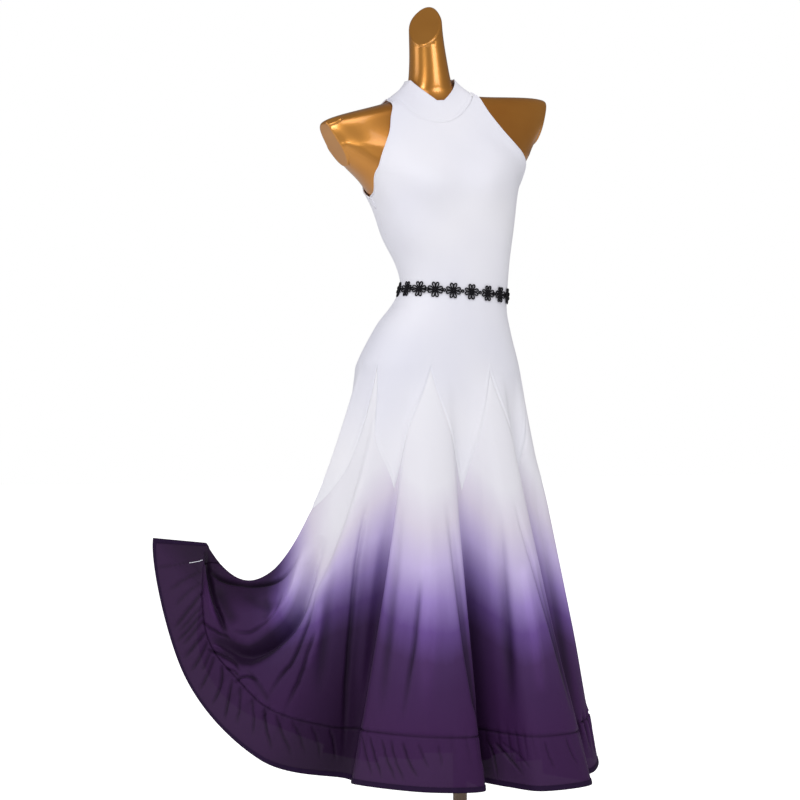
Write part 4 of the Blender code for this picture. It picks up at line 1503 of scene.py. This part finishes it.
class DRESS_OT_stand(bpy.types.Operator):
    """Build the pole, its socket and the base plate"""

    bl_idname = "dress.stand"
    bl_label = "Stand"

    def execute(self, context):
        pole_top = FORM_FOOT_Z - PIECE_GAP
        rods = (
            ("base_plate", "base", BASE_RADIUS, 0.0, BASE_TOP, 160, 0.002),
            ("pole_socket", "socket", SOCKET_RADIUS, BASE_TOP + PIECE_GAP, SOCKET_TOP, 80, 0.002),
            ("pole_tube", "pole", POLE_RADIUS, SOCKET_TOP + PIECE_GAP, pole_top, 64, 0.0004),
        )
        for name, solid, radius, low, high, sides, bevel in rods:
            work = bmesh.new()
            half_way = (low + high) / 2
            size = {"radius1": radius, "radius2": radius, "depth": high - low}
            at = Matrix.Translation((0, 0, half_way))
            bmesh.ops.create_cone(work, cap_ends=True, segments=sides, matrix=at, **size)
            rim = [edge for edge in work.edges if all(vert.co.z > half_way for vert in edge.verts)]
            bmesh.ops.bevel(
                work, geom=rim, offset=bevel, segments=4, profile=0.5, affect="EDGES", material=-1
            )
            piece = put_in(work, name, 50.0)
            dress_in(piece, "stand_metal")
            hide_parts(solid)
        return {"FINISHED"}


# Stage


def soft_light(name, energy, size, at, toward):
    """A large square light aimed at a point."""
    data = bpy.data.lights.new(name, "AREA")
    data.shape = "SQUARE"
    data.energy = energy
    data.size = size
    made = bpy.data.objects.new(name, data)
    made.location = at
    made.rotation_euler = (Vector(toward) - at).to_track_quat("-Z", "Y").to_euler()
    bpy.context.scene.collection.objects.link(made)


class DRESS_OT_stage(bpy.types.Operator):
    """Lay the pale floor and set the camera and soft lights"""

    bl_idname = "dress.stage"
    bl_label = "Stage"

    def execute(self, context):
        scene = context.scene
        right = Vector((math.cos(CAMERA_AZIMUTH), math.sin(CAMERA_AZIMUTH), 0))
        ahead = Vector((-math.sin(CAMERA_AZIMUTH), math.cos(CAMERA_AZIMUTH), 0))
        up = Vector((0, 0, 1))
        work = bmesh.new()
        bmesh.ops.create_grid(work, x_segments=1, y_segments=1, size=scene.dress_sizes.floor_side / 2)
        floor = put_in(work, "floor")
        paper, tree, shader = new_material("pale_floor")
        grain = node(tree, "ShaderNodeTexNoise", (-500, 0))
        grain.inputs["Scale"].default_value = 2.0
        ramp = node(tree, "ShaderNodeValToRGB", (-300, 0))
        ramp.color_ramp.elements[0].color = (0.86, 0.86, 0.86, 1)
        ramp.color_ramp.elements[1].color = (0.90, 0.90, 0.90, 1)
        tree.links.new(grain.outputs["Fac"], ramp.inputs["Fac"])
        tree.links.new(ramp.outputs["Color"], shader.inputs["Base Color"])
        shader.inputs["Roughness"].default_value = 0.9
        seen_from = node(tree, "ShaderNodeLightPath", (-700, -200))
        glow = node(tree, "ShaderNodeMix", (-300, -200), data_type="RGBA")
        glow.inputs["A"].default_value = (0.0, 0.0, 0.0, 1)
        glow.inputs["B"].default_value = (1.0, 1.0, 1.0, 1)
        tree.links.new(seen_from.outputs["Is Camera Ray"], glow.inputs["Factor"])
        tree.links.new(glow.outputs["Result"], shader.inputs["Emission Color"])
        shader.inputs["Emission Strength"].default_value = FLOOR_GLOW
        floor.data.materials.append(paper)
        camera = bpy.data.cameras.new("photo_camera")
        camera.sensor_width = CAMERA_SENSOR
        camera.lens = CAMERA_LENS
        seen = bpy.data.objects.new("photo_camera", camera)
        seen.location = right * CAMERA_SIDE - ahead * CAMERA_DISTANCE + up * CAMERA_Z
        seen.rotation_euler = (math.pi / 2, 0, CAMERA_AZIMUTH)
        scene.collection.objects.link(seen)
        scene.camera = seen
        for name, energy, size, forward, aside, high in LIGHTS:
            soft_light(name, energy, size, ahead * forward + right * aside + up * high, LIGHT_AIM)
        world = bpy.data.worlds.new("pale_room")
        world.use_nodes = True
        tree = world.node_tree
        back = tree.nodes["Background"]
        back.inputs["Color"].default_value = (1.0, 1.0, 1.0, 1)
        seen_by = node(tree, "ShaderNodeLightPath", (-600, 0))
        dim = node(tree, "ShaderNodeMapRange", (-350, -150))
        dim.inputs["To Min"].default_value = ROOM_LIGHT
        dim.inputs["To Max"].default_value = ROOM_MIRRORED
        tree.links.new(seen_by.outputs["Is Glossy Ray"], dim.inputs["Value"])
        level = node(tree, "ShaderNodeMix", (-150, 0), data_type="FLOAT")
        level.inputs["B"].default_value = 1.0
        tree.links.new(seen_by.outputs["Is Camera Ray"], level.inputs["Factor"])
        tree.links.new(dim.outputs["Result"], level.inputs["A"])
        tree.links.new(level.outputs["Result"], back.inputs["Strength"])
        scene.world = world
        scene.view_settings.view_transform = "Standard"
        return {"FINISHED"}


class DRESS_PT_panel(bpy.types.Panel):
    """Lists the dress's settings and pieces"""

    bl_idname = "DRESS_PT_panel"
    bl_label = "Ballroom Dress"
    bl_space_type = "VIEW_3D"
    bl_region_type = "UI"
    bl_category = "Dress"

    def draw(self, context):
        for group in (context.scene.dress_looks, context.scene.dress_sizes):
            for key in group.bl_rna.properties.keys():
                if key not in {"rna_type", "name"}:
                    self.layout.prop(group, key)
        for operator in OPERATORS:
            self.layout.operator(operator.bl_idname)


OPERATORS = (
    DRESS_OT_form,
    DRESS_OT_stand,
    DRESS_OT_bodice,
    DRESS_OT_collar,
    DRESS_OT_piping,
    DRESS_OT_gores,
    DRESS_OT_flounce,
    DRESS_OT_binding,
    DRESS_OT_belt,
    DRESS_OT_stage,
)
CLASSES = (DressLooks, DressSizes, *OPERATORS, DRESS_PT_panel)


def register():
    """Register the settings, the operators and the panel."""
    for item in CLASSES:
        bpy.utils.register_class(item)
    bpy.types.Scene.dress_looks = bpy.props.PointerProperty(type=DressLooks)
    bpy.types.Scene.dress_sizes = bpy.props.PointerProperty(type=DressSizes)


def unregister():
    """Take them out again."""
    del bpy.types.Scene.dress_sizes
    del bpy.types.Scene.dress_looks
    for item in reversed(CLASSES):
        bpy.utils.unregister_class(item)


def main():
    """Build the whole scene."""
    register()
    bpy.ops.dress.form()
    bpy.ops.dress.stand()
    bpy.ops.dress.bodice()
    bpy.ops.dress.collar()
    bpy.ops.dress.piping()
    bpy.ops.dress.gores()
    bpy.ops.dress.flounce()
    bpy.ops.dress.binding()
    bpy.ops.dress.belt()
    bpy.ops.dress.stage()


if __name__ == "__main__":
    main()
